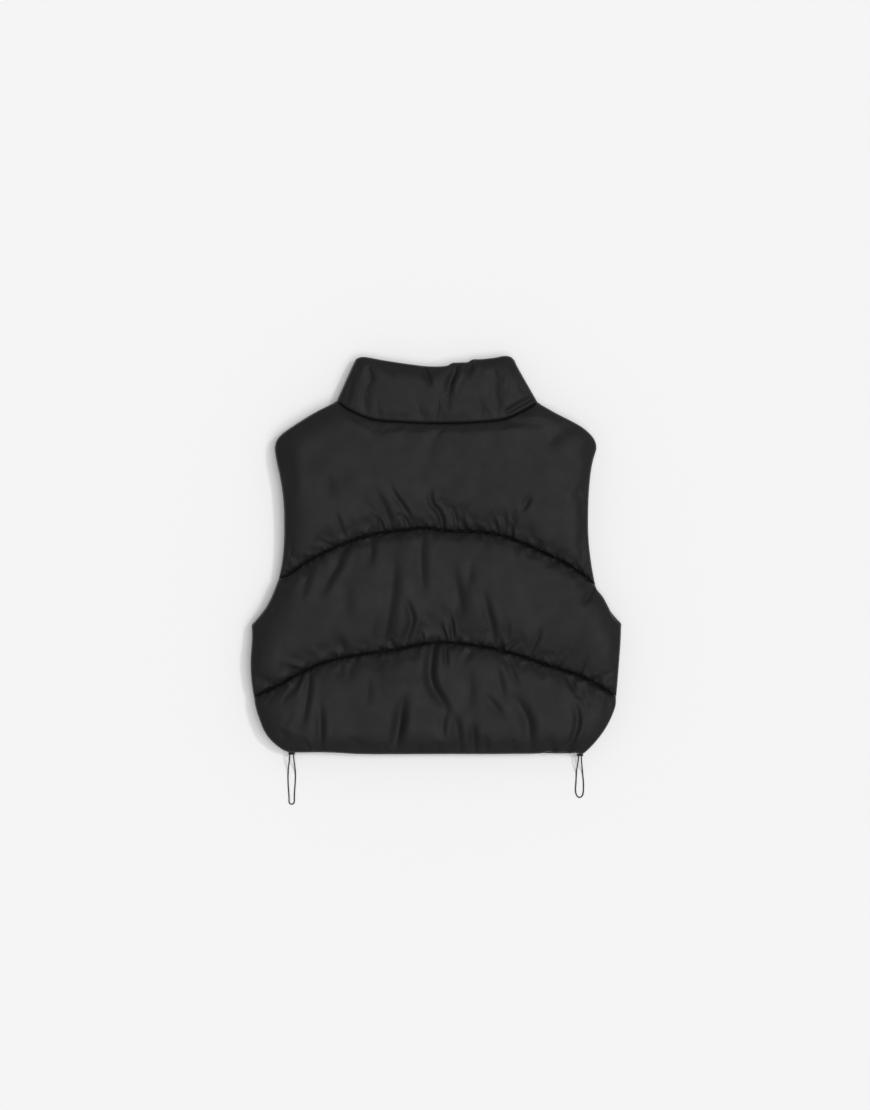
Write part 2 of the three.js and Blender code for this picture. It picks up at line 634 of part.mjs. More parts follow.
function wallGeometry(columns) {
  const rows = columns[0].outer.length;
  const outerPoints = columns.flatMap(({ outer }) => outer);
  const innerPoints = columns.flatMap(({ inner }) => inner);
  const outerIndex = (i, j) => i * rows + j;
  const innerIndex = (i, j) => outerPoints.length + outerIndex(i, j);
  const rim = rimOf(columns.length, rows);
  const faces = [
    ...gridFaces(columns.length, rows, outerIndex),
    ...reversed(gridFaces(columns.length, rows, innerIndex)),
    ...wallFaces(rim.map(([i, j]) => outerIndex(i, j)), rim.map(([i, j]) => innerIndex(i, j))),
  ];
  return meshGeometry([...outerPoints, ...innerPoints], faces);
}
addPart("collar", wallGeometry(collarWall), shellCloth);

// Solids joined into one body
const wasm = await Module();
wasm.setup();

function toSolid(geometry) {
  const bare = geometry.index ? geometry.clone() : geometry;
  bare.deleteAttribute("normal");
  bare.deleteAttribute("uv");
  const merged = BufferGeometryUtils.mergeVertices(bare);
  const mesh = new wasm.Mesh({
    numProp: 3,
    vertProperties: new Float32Array(merged.attributes.position.array),
    triVerts: new Uint32Array(merged.index.array),
  });
  return new wasm.Manifold(mesh);
}

function fromSolid(solid) {
  const mesh = solid.getMesh();
  const geometry = new THREE.BufferGeometry();
  geometry.setAttribute("position", new THREE.Float32BufferAttribute(mesh.vertProperties, 3));
  geometry.setIndex(Array.from(mesh.triVerts));
  geometry.computeVertexNormals();
  return geometry;
}

function roundedOutline(width, height, corner) {
  const shape = new THREE.Shape();
  const x = width / 2 - corner;
  const y = height / 2 - corner;
  shape.absarc(x, y, corner, 0, Math.PI / 2);
  shape.absarc(-x, y, corner, Math.PI / 2, Math.PI);
  shape.absarc(-x, -y, corner, Math.PI, 1.5 * Math.PI);
  shape.absarc(x, -y, corner, 1.5 * Math.PI, 2 * Math.PI);
  return shape;
}

// Zip tapes: their inner edges part at the slider's post
const tapeOuterX = FRONT_EDGE_X - SEAM_GAP;
const postY = SLIDER.y + POST.forward;
const tapeEndY = HEM_FRONT_Y + BOX.length + SEAM_GAP;
const postSideX = POST.width / 2 + SEAM_GAP;
[{ side: "left", sign: -1 }, { side: "right", sign: 1 }].forEach(({ side, sign }) => {
  const outline = new THREE.Shape();
  outline.moveTo(sign * TAPE_HALF_GAP, tapeEndY);
  outline.lineTo(sign * tapeOuterX, tapeEndY);
  outline.lineTo(sign * tapeOuterX, TAPE_TOP_Y);
  outline.lineTo(sign * postSideX, TAPE_TOP_Y);
  outline.lineTo(sign * postSideX, postY - POST.length / 2 - SEAM_GAP);
  outline.lineTo(sign * TAPE_HALF_GAP, SLIDER.y - SLIDER.length / 2);
  outline.closePath();
  const geometry = new THREE.ExtrudeGeometry(outline, { depth: TAPE_THICKNESS, bevelEnabled: false });
  const tape = addPart(`zip_tape_${side}`, geometry, tapeCloth);
  tape.position.z = TAPE_BASE;
});

// Zip box at the hem, where the two tapes end
const boxOutline = roundedOutline(BOX.width, BOX.length, BOX.corner);
const boxGeometry = new THREE.ExtrudeGeometry(boxOutline, {
  depth: BOX.height,
  bevelEnabled: false,
  curveSegments: 4,
});
const zipBox = addPart("zip_box", boxGeometry, zipMetal);
zipBox.position.set(0, HEM_FRONT_Y + BOX.length / 2, TAPE_BASE + TAPE_THICKNESS / 2 - BOX.height / 2);

// Slider: an outer and an inner plate joined by a post, with a bail on the outer plate
const outerPlateTop = TAPE_BASE - SEAM_GAP;
const outerPlateBase = outerPlateTop - SLIDER.plate;
const innerPlateBase = TAPE_BASE + TAPE_THICKNESS + SEAM_GAP;
const pivotZ = outerPlateBase - PIVOT_DROP;
const rooting = 0.4; // the post and the bail's feet go this far into the plates

function sliderPlate(baseZ) {
  const plate = new THREE.ExtrudeGeometry(roundedOutline(SLIDER.width, SLIDER.length, SLIDER.corner), {
    depth: SLIDER.plate,
    bevelEnabled: false,
    curveSegments: 5,
  });
  return toSolid(plate.translate(0, SLIDER.y, baseZ));
}

function sliderPost() {
  const height = innerPlateBase - outerPlateTop + 2 * rooting;
  const post = new THREE.BoxGeometry(POST.width, POST.length, height);
  return toSolid(post.translate(0, postY, (innerPlateBase + outerPlateTop) / 2));
}

function sliderBail() {
  const inside = BAIL.halfSpan;
  const outside = inside + BAIL.wire;
  const insideZ = pivotZ - BAIL.clearance;
  const outsideZ = insideZ - BAIL.wire;
  const footZ = outerPlateBase + rooting;
  const { innerCut, outerCut } = BAIL;
  const half = [
    [0, insideZ], [inside - innerCut, insideZ], [inside, insideZ + innerCut], [inside, footZ],
    [outside, footZ], [outside, outsideZ + outerCut], [outside - outerCut, outsideZ], [0, outsideZ],
  ];
  const otherHalf = half.slice(1, -1).map(([y, z]) => [-y, z]).reverse();
  const arch = new THREE.Shape([...half, ...otherHalf].map(([y, z]) => new THREE.Vector2(y, z)));
  const bail = new THREE.ExtrudeGeometry(arch, { depth: BAIL.width, bevelEnabled: false });
  bail.rotateX(Math.PI / 2);
  bail.rotateZ(Math.PI / 2);
  return toSolid(bail.translate(-BAIL.width / 2, SLIDER.y, 0));
}

const sliderPlates = sliderPlate(outerPlateBase).add(sliderPlate(innerPlateBase));
const slider = sliderPlates.add(sliderPost()).add(sliderBail());
addPart("zip_slider", fromSolid(slider), zipMetal);

// Pull tab: its end bar hangs in the bail and its tip leans just above the floor
const bar = PULL.thickness / 2;
const holeEndY = -bar - PULL_HOLE.length;
const pullOutline = new THREE.Shape([
  [PULL.width / 2, bar],
  [-PULL.width / 2, bar],
  [-PULL.width / 2, holeEndY - PULL_HOLE.margin],
  [-PULL.tipWidth / 2, -PULL.length + PULL.tipCut],
  [-PULL.tipWidth / 2 + PULL.tipCut, -PULL.length],
  [PULL.tipWidth / 2 - PULL.tipCut, -PULL.length],
  [PULL.tipWidth / 2, -PULL.length + PULL.tipCut],
  [PULL.width / 2, holeEndY - PULL_HOLE.margin],
].map(([x, y]) => new THREE.Vector2(x, y)));
pullOutline.holes.push(new THREE.Path([
  [-PULL_HOLE.width / 2, -bar],
  [-PULL_HOLE.width / 2, holeEndY],
  [PULL_HOLE.width / 2, holeEndY],
  [PULL_HOLE.width / 2, -bar],
].map(([x, y]) => new THREE.Vector2(x, y))));
const pullGeometry = new THREE.ExtrudeGeometry(pullOutline, { depth: PULL.thickness, bevelEnabled: false });
pullGeometry.translate(0, 0, -PULL.thickness / 2);
const pull = addPart("zip_pull", pullGeometry, zipMetal);
pull.position.set(0, SLIDER.y, pivotZ);
pull.rotation.x = Math.asin((pivotZ - bar - SEAM_GAP) / PULL.length);

// Cord outlets on the hem and the elastic cord loops that hang from them
OUTLETS.forEach(({ name, x, hemY, loop, cord }) => {
  const outline = roundedOutline(OUTLET.width, OUTLET.height, OUTLET.corner);
  const depth = OUTLET.depth;
  const body = new THREE.ExtrudeGeometry(outline, { depth, bevelEnabled: false, curveSegments: 3 });
  body.rotateX(Math.PI / 2);
  const outlet = addPart(name, body, shellCloth);
  outlet.position.set(x, hemY - SEAM_GAP, loop[0][2]);

  const section = new THREE.Shape();
  section.absarc(0, 0, CORD_DIAMETER / 2, 0, 2 * Math.PI);
  const tube = new THREE.ExtrudeGeometry(section, {
    steps: CORD_STEPS,
    curveSegments: CORD_QUARTER_SIDES,
    extrudePath: smoothCurve(loop),
  });
  addPart(cord, tube, cordCloth);
});

export default vest;
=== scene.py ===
# %% [markdown]
# # A puffer vest laid flat
# The real vest is sewn from padded panels: an outer cloth, loose filling and an inner cloth. It lies on
# its front, so the back shows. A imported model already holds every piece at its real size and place, and
# it is the frame for this lesson. Each finer piece is built over its own solid, in metres, with Z up from
# the floor and Y running from the hem to the collar. Loading the frame comes first, because every later
# size is read from it.

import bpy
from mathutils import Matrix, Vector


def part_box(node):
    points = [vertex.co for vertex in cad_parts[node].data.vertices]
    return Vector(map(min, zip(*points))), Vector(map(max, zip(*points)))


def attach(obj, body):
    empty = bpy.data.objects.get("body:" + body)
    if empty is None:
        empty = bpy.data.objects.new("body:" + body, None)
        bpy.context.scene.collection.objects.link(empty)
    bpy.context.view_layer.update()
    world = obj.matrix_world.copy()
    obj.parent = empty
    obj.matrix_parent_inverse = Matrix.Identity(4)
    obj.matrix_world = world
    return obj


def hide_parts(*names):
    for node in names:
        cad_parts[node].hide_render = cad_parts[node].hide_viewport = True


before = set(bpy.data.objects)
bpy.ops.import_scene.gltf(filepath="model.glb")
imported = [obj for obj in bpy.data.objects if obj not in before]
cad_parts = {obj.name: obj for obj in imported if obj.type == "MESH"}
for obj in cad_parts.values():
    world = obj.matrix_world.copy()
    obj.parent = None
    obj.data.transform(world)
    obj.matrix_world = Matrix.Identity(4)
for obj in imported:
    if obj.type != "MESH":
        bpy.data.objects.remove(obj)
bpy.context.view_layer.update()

# %% [markdown]
# ## The camera
# The picture is taken from straight above. A camera that isn't turned at all looks straight down in
# Blender, so only its place and its lens are needed. The lens could be of any length. A long one is used,
# because it keeps the sides of the padding out of sight, as in the photograph. The height follows from the
# real size of the picture at the level of the seam between front and back.

# %% Place the camera straight above
import math

import bmesh
import bpy
import numpy as np
from mathutils import Vector

FRAME_PIXELS_HIGH = 1110
METRES_PER_PIXEL = 0.0014
FRAME_MIDDLE_X = -0.0021
LENS_MM = 85
SENSOR_MM = 36
BACK_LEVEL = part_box("back_upper")[0].z
FRONT_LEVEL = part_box("front_left_upper")[1].z


def make_camera():
    data = bpy.data.cameras.new("camera")
    data.lens = LENS_MM
    data.sensor_width = SENSOR_MM
    camera = bpy.data.objects.new("camera", data)
    bpy.context.scene.collection.objects.link(camera)
    distance = FRAME_PIXELS_HIGH * METRES_PER_PIXEL * LENS_MM / SENSOR_MM
    camera.location = (FRAME_MIDDLE_X, 0, BACK_LEVEL + distance)
    bpy.context.scene.camera = camera
    return camera


camera = make_camera()
print("camera height in metres:", round(camera.location.z, 3))

# %% [markdown]
# ## The elastic hem cord
# A thin round elastic runs inside the hem and comes out at each side as a loop. It is limp, so it drops
# from its outlet onto the table and lies there. A mesh tube or a curve could show it. A curve with a round
# bevel is chosen, because its own line is the cord's middle and its length can be measured. The bevel is
# one metre deep and each point's radius scales it down, because Blender's box around a curve grows by that
# radius. The route is a short list of given points, and a smooth line is laid through them: it
# leaves each point in the direction that its two neighbours give, weighed by their distances.

# %% A smooth line through a few points
CORD_DIAMETER = 0.0018
CORD_STEP = 0.001

LEFT_LOOP = [
    (-0.2056, -0.2801, 0.0158), (-0.2059, -0.2846, 0.0153), (-0.2065, -0.2894, 0.0132),
    (-0.2073, -0.2944, 0.0094), (-0.2080, -0.2996, 0.0052), (-0.2085, -0.3052, 0.0022),
    (-0.2088, -0.3115, 0.0011), (-0.2087, -0.3190, 0.0010), (-0.2083, -0.3270, 0.0010),
    (-0.2077, -0.3350, 0.0010), (-0.2073, -0.3420, 0.0010), (-0.20725, -0.3469, 0.0010),
    (-0.2062, -0.3495, 0.0010), (-0.2036, -0.3506, 0.0010), (-0.2010, -0.3495, 0.0010),
    (-0.19995, -0.3469, 0.0010), (-0.1999, -0.3410, 0.0010), (-0.1996, -0.3330, 0.0010),
    (-0.1990, -0.3250, 0.0010), (-0.1985, -0.3170, 0.0010), (-0.1983, -0.3105, 0.0012),
    (-0.1985, -0.3046, 0.0024), (-0.1988, -0.2992, 0.0054), (-0.1992, -0.2942, 0.0095),
    (-0.1996, -0.2893, 0.0132), (-0.2000, -0.2846, 0.0153), (-0.2002, -0.2801, 0.0158),
]
RIGHT_LOOP = [
    (0.1990, -0.2821, 0.0158), (0.1988, -0.2864, 0.0153), (0.1983, -0.2910, 0.0132),
    (0.1977, -0.2958, 0.0094), (0.1972, -0.3008, 0.0052), (0.1968, -0.3062, 0.0022),
    (0.1966, -0.3120, 0.0011), (0.1963, -0.3190, 0.0010), (0.1958, -0.3260, 0.0010),
    (0.1957, -0.3320, 0.0010), (0.1966, -0.3366, 0.0010), (0.1986, -0.3398, 0.0010),
    (0.2012, -0.3410, 0.0010), (0.2039, -0.3400, 0.0010), (0.2059, -0.3366, 0.0010),
    (0.2067, -0.3315, 0.0010), (0.2069, -0.3250, 0.0010), (0.2066, -0.3180, 0.0010),
    (0.2060, -0.3115, 0.0011), (0.2054, -0.3058, 0.0022), (0.2048, -0.3004, 0.0052),
    (0.2041, -0.2956, 0.0094), (0.2035, -0.2908, 0.0132), (0.2031, -0.2863, 0.0153),
    (0.2029, -0.2821, 0.0158),
]


def smooth_line(points, step):
    """Points at most a step apart on one smooth line through the given points"""
    points = np.asarray(points, float)
    before = 2 * points[0] - points[1]
    after = 2 * points[-1] - points[-2]
    chain = np.vstack([before, points, after])
    line = [points[0]]
    for a, b, c, d in zip(chain, chain[1:], chain[2:], chain[3:]):
        t1, t2, t3 = (np.linalg.norm(q - p) ** 0.5 for p, q in ((a, b), (b, c), (c, d)))
        leave = t2 * ((b - a) / t1 - (c - a) / (t1 + t2) + (c - b) / t2)
        arrive = t2 * ((c - b) / t2 - (d - b) / (t2 + t3) + (d - c) / t3)
        count = max(1, math.ceil(np.linalg.norm(c - b) / step))
        for share in np.arange(1, count + 1) / count:
            square, cube = share**2, share**3
            point = (2 * cube - 3 * square + 1) * b + (cube - 2 * square + share) * leave
            line.append(point + (3 * square - 2 * cube) * c + (cube - square) * arrive)
    return np.array(line)


def length_of(line):
    return float(np.linalg.norm(np.diff(line, axis=0), axis=1).sum())


# %% Lay the two cord loops
def make_cord(name, route):
    line = smooth_line(route, CORD_STEP)
    data = bpy.data.curves.new(name, "CURVE")
    data.dimensions = "3D"
    data.bevel_depth = 1
    data.bevel_resolution = 3
    data.use_fill_caps = True
    spline = data.splines.new("POLY")
    spline.points.add(len(line) - 1)
    for point, place in zip(spline.points, line):
        point.co = (*place, 1)
        point.radius = CORD_DIAMETER / 2
    piece = bpy.data.objects.new(name, data)
    bpy.context.scene.collection.objects.link(piece)
    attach(piece, "vest")
    return piece


cord_left = make_cord("elastic_cord_left", LEFT_LOOP)
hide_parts("cord_loop_left")
cord_right = make_cord("elastic_cord_right", RIGHT_LOOP)
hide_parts("cord_loop_right")

# %% [markdown]
# ## The cut edges of the panels
# Every padded panel has four sewn edges that meet at corners. They could be typed in again, but the solids
# already have them, so they are read from the flat side of each solid: the loop of edges that belong to
# one flat triangle only is the panel's outline in plan. The loop is parted at the corners that a maker
# would mark with notches, and a smooth line is laid through each part.

# %% Corners marked on the pattern
CORNERS = {
    "neck_left": (-0.1390, 0.2150),
    "neck_right": (0.1410, 0.2135),
    "shoulder_left": (-0.2265, 0.1510),
    "shoulder_right": (0.2240, 0.1484),
    "seam_one_left": (-0.2205, -0.0330),
    "seam_one_right": (0.2220, -0.0420),
    "underarm_left": (-0.2583, -0.0980),
    "underarm_right": (0.2583, -0.0960),
    "seam_two_left": (-0.2555, -0.1980),
    "seam_two_right": (0.2513, -0.1980),
    "hem_left": (-0.2065, -0.2765),
    "hem_right": (0.2050, -0.2785),
}
LINE_STEP = 0.001


def flat_outline(node, level):
    """The outline in plan of a solid's flat side at this level, once around, anticlockwise"""
    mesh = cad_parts[node].data
    marks = [(round(v.co.x, 5), round(v.co.y, 5)) for v in mesh.vertices]
    flat = [abs(v.co.z - level) < 1e-5 for v in mesh.vertices]
    steps = set()
    for polygon in mesh.polygons:
        around = list(polygon.vertices)
        if all(flat[index] for index in around):
            steps |= {(marks[a], marks[b]) for a, b in zip(around, around[1:] + around[:1])}
    after = {a: b for a, b in steps if (b, a) not in steps}
    loop = [min(after)]
    while after[loop[-1]] != loop[0]:
        loop.append(after[loop[-1]])
    loop = np.array(loop)
    x, y = loop.T
    turn = np.sum(x * np.roll(y, -1) - y * np.roll(x, -1))
    return loop if turn > 0 else loop[::-1]


def corner_of(loop, name):
    """Where a named corner is. The two zip corners are the ends of the edge beside the zip."""
    if not name.startswith("zip"):
        return CORNERS[name]
    beside = loop[np.abs(loop[:, 0]) < np.abs(loop[:, 0]).min() + 1e-4]
    return beside[np.argmax(beside[:, 1]) if name == "zip_top" else np.argmin(beside[:, 1])]


def part_of(loop, start, end):
    """The smooth line along a loop, anticlockwise from the point nearest one corner to another"""
    first, last = (int(np.argmin(np.linalg.norm(loop - corner, axis=1))) for corner in (start, end))
    count = (last - first) % len(loop) + 1
    return smooth_line(np.take(loop, range(first, first + count), axis=0, mode="wrap"), LINE_STEP)


outline = flat_outline("back_upper", BACK_LEVEL)
print("points on the yoke's outline:", len(outline))

# %% [markdown]
# ## A grid of cloth between four edges
# Cloth needs a fine and even net of points. A net could be cut from a flat sheet, but its rows would
# then run out at the curved edges. Here each row and column runs from edge to edge instead, so the
# outermost ones are the seams themselves. Such a net between four curves is called a Coons patch: it adds
# the blend of two opposite edges to the blend of the other two, and takes the corners away once. The rows
# lie closer together near the edges, because the cloth turns into the seam there.

# %% Edges with their stretches, and the net between them
RIM_STEPS = [0, 0.0009, 0.0028, 0.0062]


class Edge:
    """One edge of a panel, from left to right or from bottom to top, made of one or more stretches.
    Each stretch has a reach, which is how far in the filling gets full, and the height at which it is sewn."""

    def __init__(self, stretches, reaches, sewn_heights, quilted=False):
        self.parts = list(zip(stretches, reaches, sewn_heights))
        self.quilted = quilted
        self.line = np.vstack([stretches[0], *(stretch[1:] for stretch in stretches[1:])])
        self.along = np.concatenate([[0], np.cumsum(np.linalg.norm(np.diff(self.line, axis=0), axis=1))])
        self.length = self.along[-1]
        ends = np.cumsum([length_of(stretch) for stretch in stretches])
        self.joins = [end / self.length for end in ends[:-1]]

    def at(self, shares, own_joins=(), joins=()):
        """Points at shares of this edge, where the net's joins are led to this edge's own ones"""
        marks = np.interp(shares, [0, *joins, 1], [0, *own_joins, 1]) if joins and own_joins else shares
        return np.stack([np.interp(marks * self.length, self.along, axis) for axis in self.line.T], axis=1)


def stations(length, joins, pitch):
    """Shares of an edge's length, close together at both ends and even between them, with one at each join"""
    rim = np.array(RIM_STEPS) / length
    marks = [rim[-1], *joins, 1 - rim[-1]]
    shares = list(rim)
    for start, end in zip(marks, marks[1:]):
        count = max(1, round((end - start) * length / pitch))
        shares += np.linspace(start, end, count + 1)[1:].tolist()
    return np.array([*shares, *(1 - rim[-2::-1])])


def between(values):
    """The values with a new one between each two, along the first axis, on a smooth line"""
    inner = np.concatenate([[2 * values[0] - values[1]], values, [2 * values[-1] - values[-2]]])
    middle = (9 * (inner[1:-2] + inner[2:-1]) - (inner[:-3] + inner[3:])) / 16
    fine = np.empty((2 * len(values) - 1, *values.shape[1:]))
    fine[::2] = values
    fine[1::2] = middle
    return fine


def finer(net):
    """A net with twice as many steps both ways"""
    return between(between(net).swapaxes(0, 1)).swapaxes(0, 1)


def net_between(bottom, top, left, right, across, up):
    """The points in plan of a net between four edges, one column for each share across"""
    across_joins = top.joins or bottom.joins
    up_joins = left.joins or right.joins
    low = bottom.at(across, bottom.joins, across_joins)[:, None]
    high = top.at(across, top.joins, across_joins)[:, None]
    near = left.at(up, left.joins, up_joins)[None]
    far = right.at(up, right.joins, up_joins)[None]
    u = across[:, None, None]
    v = up[None, :, None]
    corners = (1 - u) * (1 - v) * low[:1] + u * (1 - v) * low[-1:] + (1 - u) * v * high[:1] + u * v * high[-1:]
    return (1 - v) * low + v * high + (1 - u) * near + u * far - corners


def measure_to(line, points):
    """How far each point lies from a line, and how far along the line its nearest place is"""
    nearest = np.full(points.shape[:-1], np.inf)
    place = np.zeros(points.shape[:-1])
    passed = 0.0
    for start, end in zip(line[:-1:3], [*line[3::3], line[-1]]):
        step = end - start
        run = np.linalg.norm(step)
        if run < 1e-9:
            continue
        along = np.clip((points - start) @ step / run, 0, run)
        away = np.linalg.norm(points - start - (along / run)[..., None] * step, axis=-1)
        closer = away < nearest
        nearest = np.where(closer, away, nearest)
        place = np.where(closer, passed + along, place)
        passed += run
    return nearest, place

# %% [markdown]
# ## A padded panel
# Filling lifts the cloth between its seams. A voxel remesh could round a block off, but it would rub out
# the seams. So the height is worked out instead. It starts low at a free edge, and higher at a seam,
# because there the filling of both panels carries the thread. It turns up in a steep wall, and swells
# gently from there until it is full. The shares of all the edges are multiplied, so a corner stays low.
# The underside is flat, because back and front lie pressed on each other. A low wall around the rim and
# one flat face close the piece.

# %% The height of the filling above a panel's flat side
PINCHED_HEIGHT = 0.0010
SEAM_HEIGHT = 0.0075
NECK_HEIGHT = 0.0132
RIM_HEIGHT = 0.0045
RIM_ROUNDING = 0.0035
WALL_SHARE = 0.60
WALL_REACH = 0.0042
SEAM_WALL_REACH = 0.0026
SEAM_SHOULDER_REACH = 0.0105
SEAM_SHOULDER_SHARE = 0.40
SEAM_UNEVENNESS = 0.5
SEAM_REACH = 0.058
RIM_REACH = 0.038
NECK_REACH = 0.014
LOFT_SHARE = 0.96
BACK_LOFT = LOFT_SHARE * (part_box("back_upper")[1].z - BACK_LEVEL) - RIM_HEIGHT
FRONT_LOFT = 0.020


def rise(distance, reach):
    """A quarter of an ellipse, upright at its start: from 0 at the edge to 1 at its reach"""
    share = np.clip(distance / reach, 0, 1)
    return np.sqrt(1 - (1 - share) ** 2)


def swell(distance, reach):
    """A half of an arch, gentle at its start: from 0 at the edge to 1 at its reach"""
    share = np.clip(distance / reach, 0, 1)
    return 1 - (1 - share) ** 2


def seam_wall(inside, along):
    """The wall and the shoulder beside a seam, steeper in some places than in others, as puckers pull it"""
    uneven = 0.6 * np.sin(along / 0.0034 + 2.4 * np.sin(along / 0.0110))
    uneven += 0.4 * np.sin(along / 0.0017 + 3 * np.sin(along / 0.0170))
    wall = swell(inside, SEAM_WALL_REACH * (1 + SEAM_UNEVENNESS * uneven))
    shoulder = swell(inside, SEAM_SHOULDER_REACH * (1 + SEAM_UNEVENNESS * np.sin(along / 0.0046)))
    return (1 - SEAM_SHOULDER_SHARE) * wall + SEAM_SHOULDER_SHARE * shoulder


def filling(edges, points, loft):
    """The height at each point from its distance to each stretch of each edge, and how free the cloth is"""
    rounding = 1.0
    full = 1.0
    free = 1.0
    for edge in edges:
        for line, reach, sewn_height in edge.parts:
            inside, along = measure_to(line, points)
            wall = seam_wall(inside, along) if sewn_height else rise(inside, WALL_REACH)
            share = WALL_SHARE * wall + (1 - WALL_SHARE) * swell(inside, reach)
            held = sewn_height / loft
            rounding = rounding * rise(inside, RIM_ROUNDING)
            full = full * (held + (1 - held) * share)
            free = free * share
    return PINCHED_HEIGHT + (RIM_HEIGHT - PINCHED_HEIGHT) * rounding + loft * full, free


# %% A closed piece from an outer net and an inner net
def faces_of(columns, rows, first=0):
    index = first + np.arange(columns * rows).reshape(columns, rows)
    corners = (index[:-1, :-1], index[1:, :-1], index[1:, 1:], index[:-1, 1:])
    return np.stack([corner.ravel() for corner in corners], axis=1)


def rim_of(columns, rows):
    index = np.arange(columns * rows).reshape(columns, rows)
    return np.concatenate([index[:-1, 0], index[-1, :-1], index[:0:-1, -1], index[0, :0:-1]])


def add_mesh(name, points, faces, smooth_faces=None):
    mesh = bpy.data.meshes.new(name)
    mesh.from_pydata(points.reshape(-1, 3).tolist(), [], [list(face) for face in faces])
    smooth = np.arange(len(faces)) < (len(faces) if smooth_faces is None else smooth_faces)
    mesh.polygons.foreach_set("use_smooth", smooth)
    mesh.update()
    piece = bpy.data.objects.new(name, mesh)
    bpy.context.scene.collection.objects.link(piece)
    return piece


def closed_piece(name, outer, inner, facing_up):
    """A mesh with an outer side, an inner side and a rim that joins them"""
    columns, rows = outer.shape[:2]
    count = columns * rows
    rim = rim_of(columns, rows)
    ahead = np.roll(rim, -1)
    wall = np.stack([rim + count, ahead + count, ahead, rim], axis=1)
    faces = np.vstack([faces_of(columns, rows), faces_of(columns, rows, count)[:, ::-1], wall])
    points = np.concatenate([outer.reshape(-1, 3), inner.reshape(-1, 3)])
    return add_mesh(name, points, faces if facing_up else faces[:, ::-1])


def panel_piece(name, outer, level, facing_up):
    """A mesh with an outer side, a low wall around its rim and one flat face"""
    columns, rows = outer.shape[:2]
    rim = rim_of(columns, rows)
    flat = columns * rows + np.arange(len(rim))
    wall = np.stack([flat, np.roll(flat, -1), np.roll(rim, -1), rim], axis=1)
    under = outer.reshape(-1, 3)[rim]
    under[:, 2] = level
    faces = [*faces_of(columns, rows).tolist(), *wall.tolist(), flat[::-1].tolist()]
    points = np.concatenate([outer.reshape(-1, 3), under])
    if not facing_up:
        faces = [face[::-1] for face in faces]
    return add_mesh(name, points, faces, len(faces) - 1)


# %% [markdown]
# ## Puckers and creases
# The thread draws each seam a little shorter than the cloth beside it, so small puckers stand across the
# seam and fade within a few centimetres. Longer creases run through the filling where the vest was
# folded and worn. Puckers are too many to place by hand, so a seeded random generator spreads them
# unevenly along a seam. The long creases are listed in a table, as the photograph shows them:
# each is a soft trough along a line with a low shoulder on both sides.

# %% Puckers along a seam, and lumps in the filling
LONG_PUCKERS = {"spacing": (0.009, 0.028), "length": (0.006, 0.020), "width": (0.0016, 0.0030)}
SHORT_PUCKERS = {"spacing": (0.003, 0.013), "length": (0.002, 0.006), "width": (0.0012, 0.0022)}
PUCKER_SLANT = 0.4
STEEP_SIDE = 0.9
SOFT_SIDE = 1.5
SHOULDER_SHARE = 0.18
SHOULDER_OFFSET = 2.2
SHADED_SHIFT = 0.6


def trough(away, width):
    """A trough of depth 1 with a soft side, a steep side and a low shoulder beyond the steep one. It is
    moved a little, so that its steep side, which shows as the dark line, is in the middle."""
    away = away + SHADED_SHIFT * STEEP_SIDE * width
    side = np.where(away > 0, STEEP_SIDE, SOFT_SIDE) * width
    shoulder = np.exp(-((away / (STEEP_SIDE * width) - SHOULDER_OFFSET) ** 2))
    return np.exp(-((away / side) ** 2)) - SHOULDER_SHARE * shoulder


def puckers(edge, distance, along, depth, rng, kind=LONG_PUCKERS):
    """The depth of small puckers that stand across an edge"""
    total = np.zeros_like(distance)
    place = rng.uniform(*kind["spacing"])
    while place < edge.length:
        length = rng.uniform(*kind["length"])
        width = rng.uniform(*kind["width"]) * (1 + distance / length)
        drift = rng.uniform(-PUCKER_SLANT, PUCKER_SLANT) * distance
        fading = np.exp(-((distance / length) ** 2))
        total += rng.uniform(0.3, 1) * depth * fading * trough(along - place - drift, width)
        place += rng.uniform(*kind["spacing"])
    return total


def lumps(points, wavelength, height, rng):
    """Gentle unevenness as a sum of a few waves that run in random directions"""
    waves = 7
    total = np.zeros(points.shape[:-1])
    for _ in range(waves):
        angle, phase = rng.uniform(0, 2 * math.pi, 2)
        run = wavelength * rng.uniform(0.7, 1.6)
        total += np.sin(2 * math.pi * (points[..., 0] * math.cos(angle) + points[..., 1] * math.sin(angle)) / run + phase)
    return height * total / math.sqrt(waves)
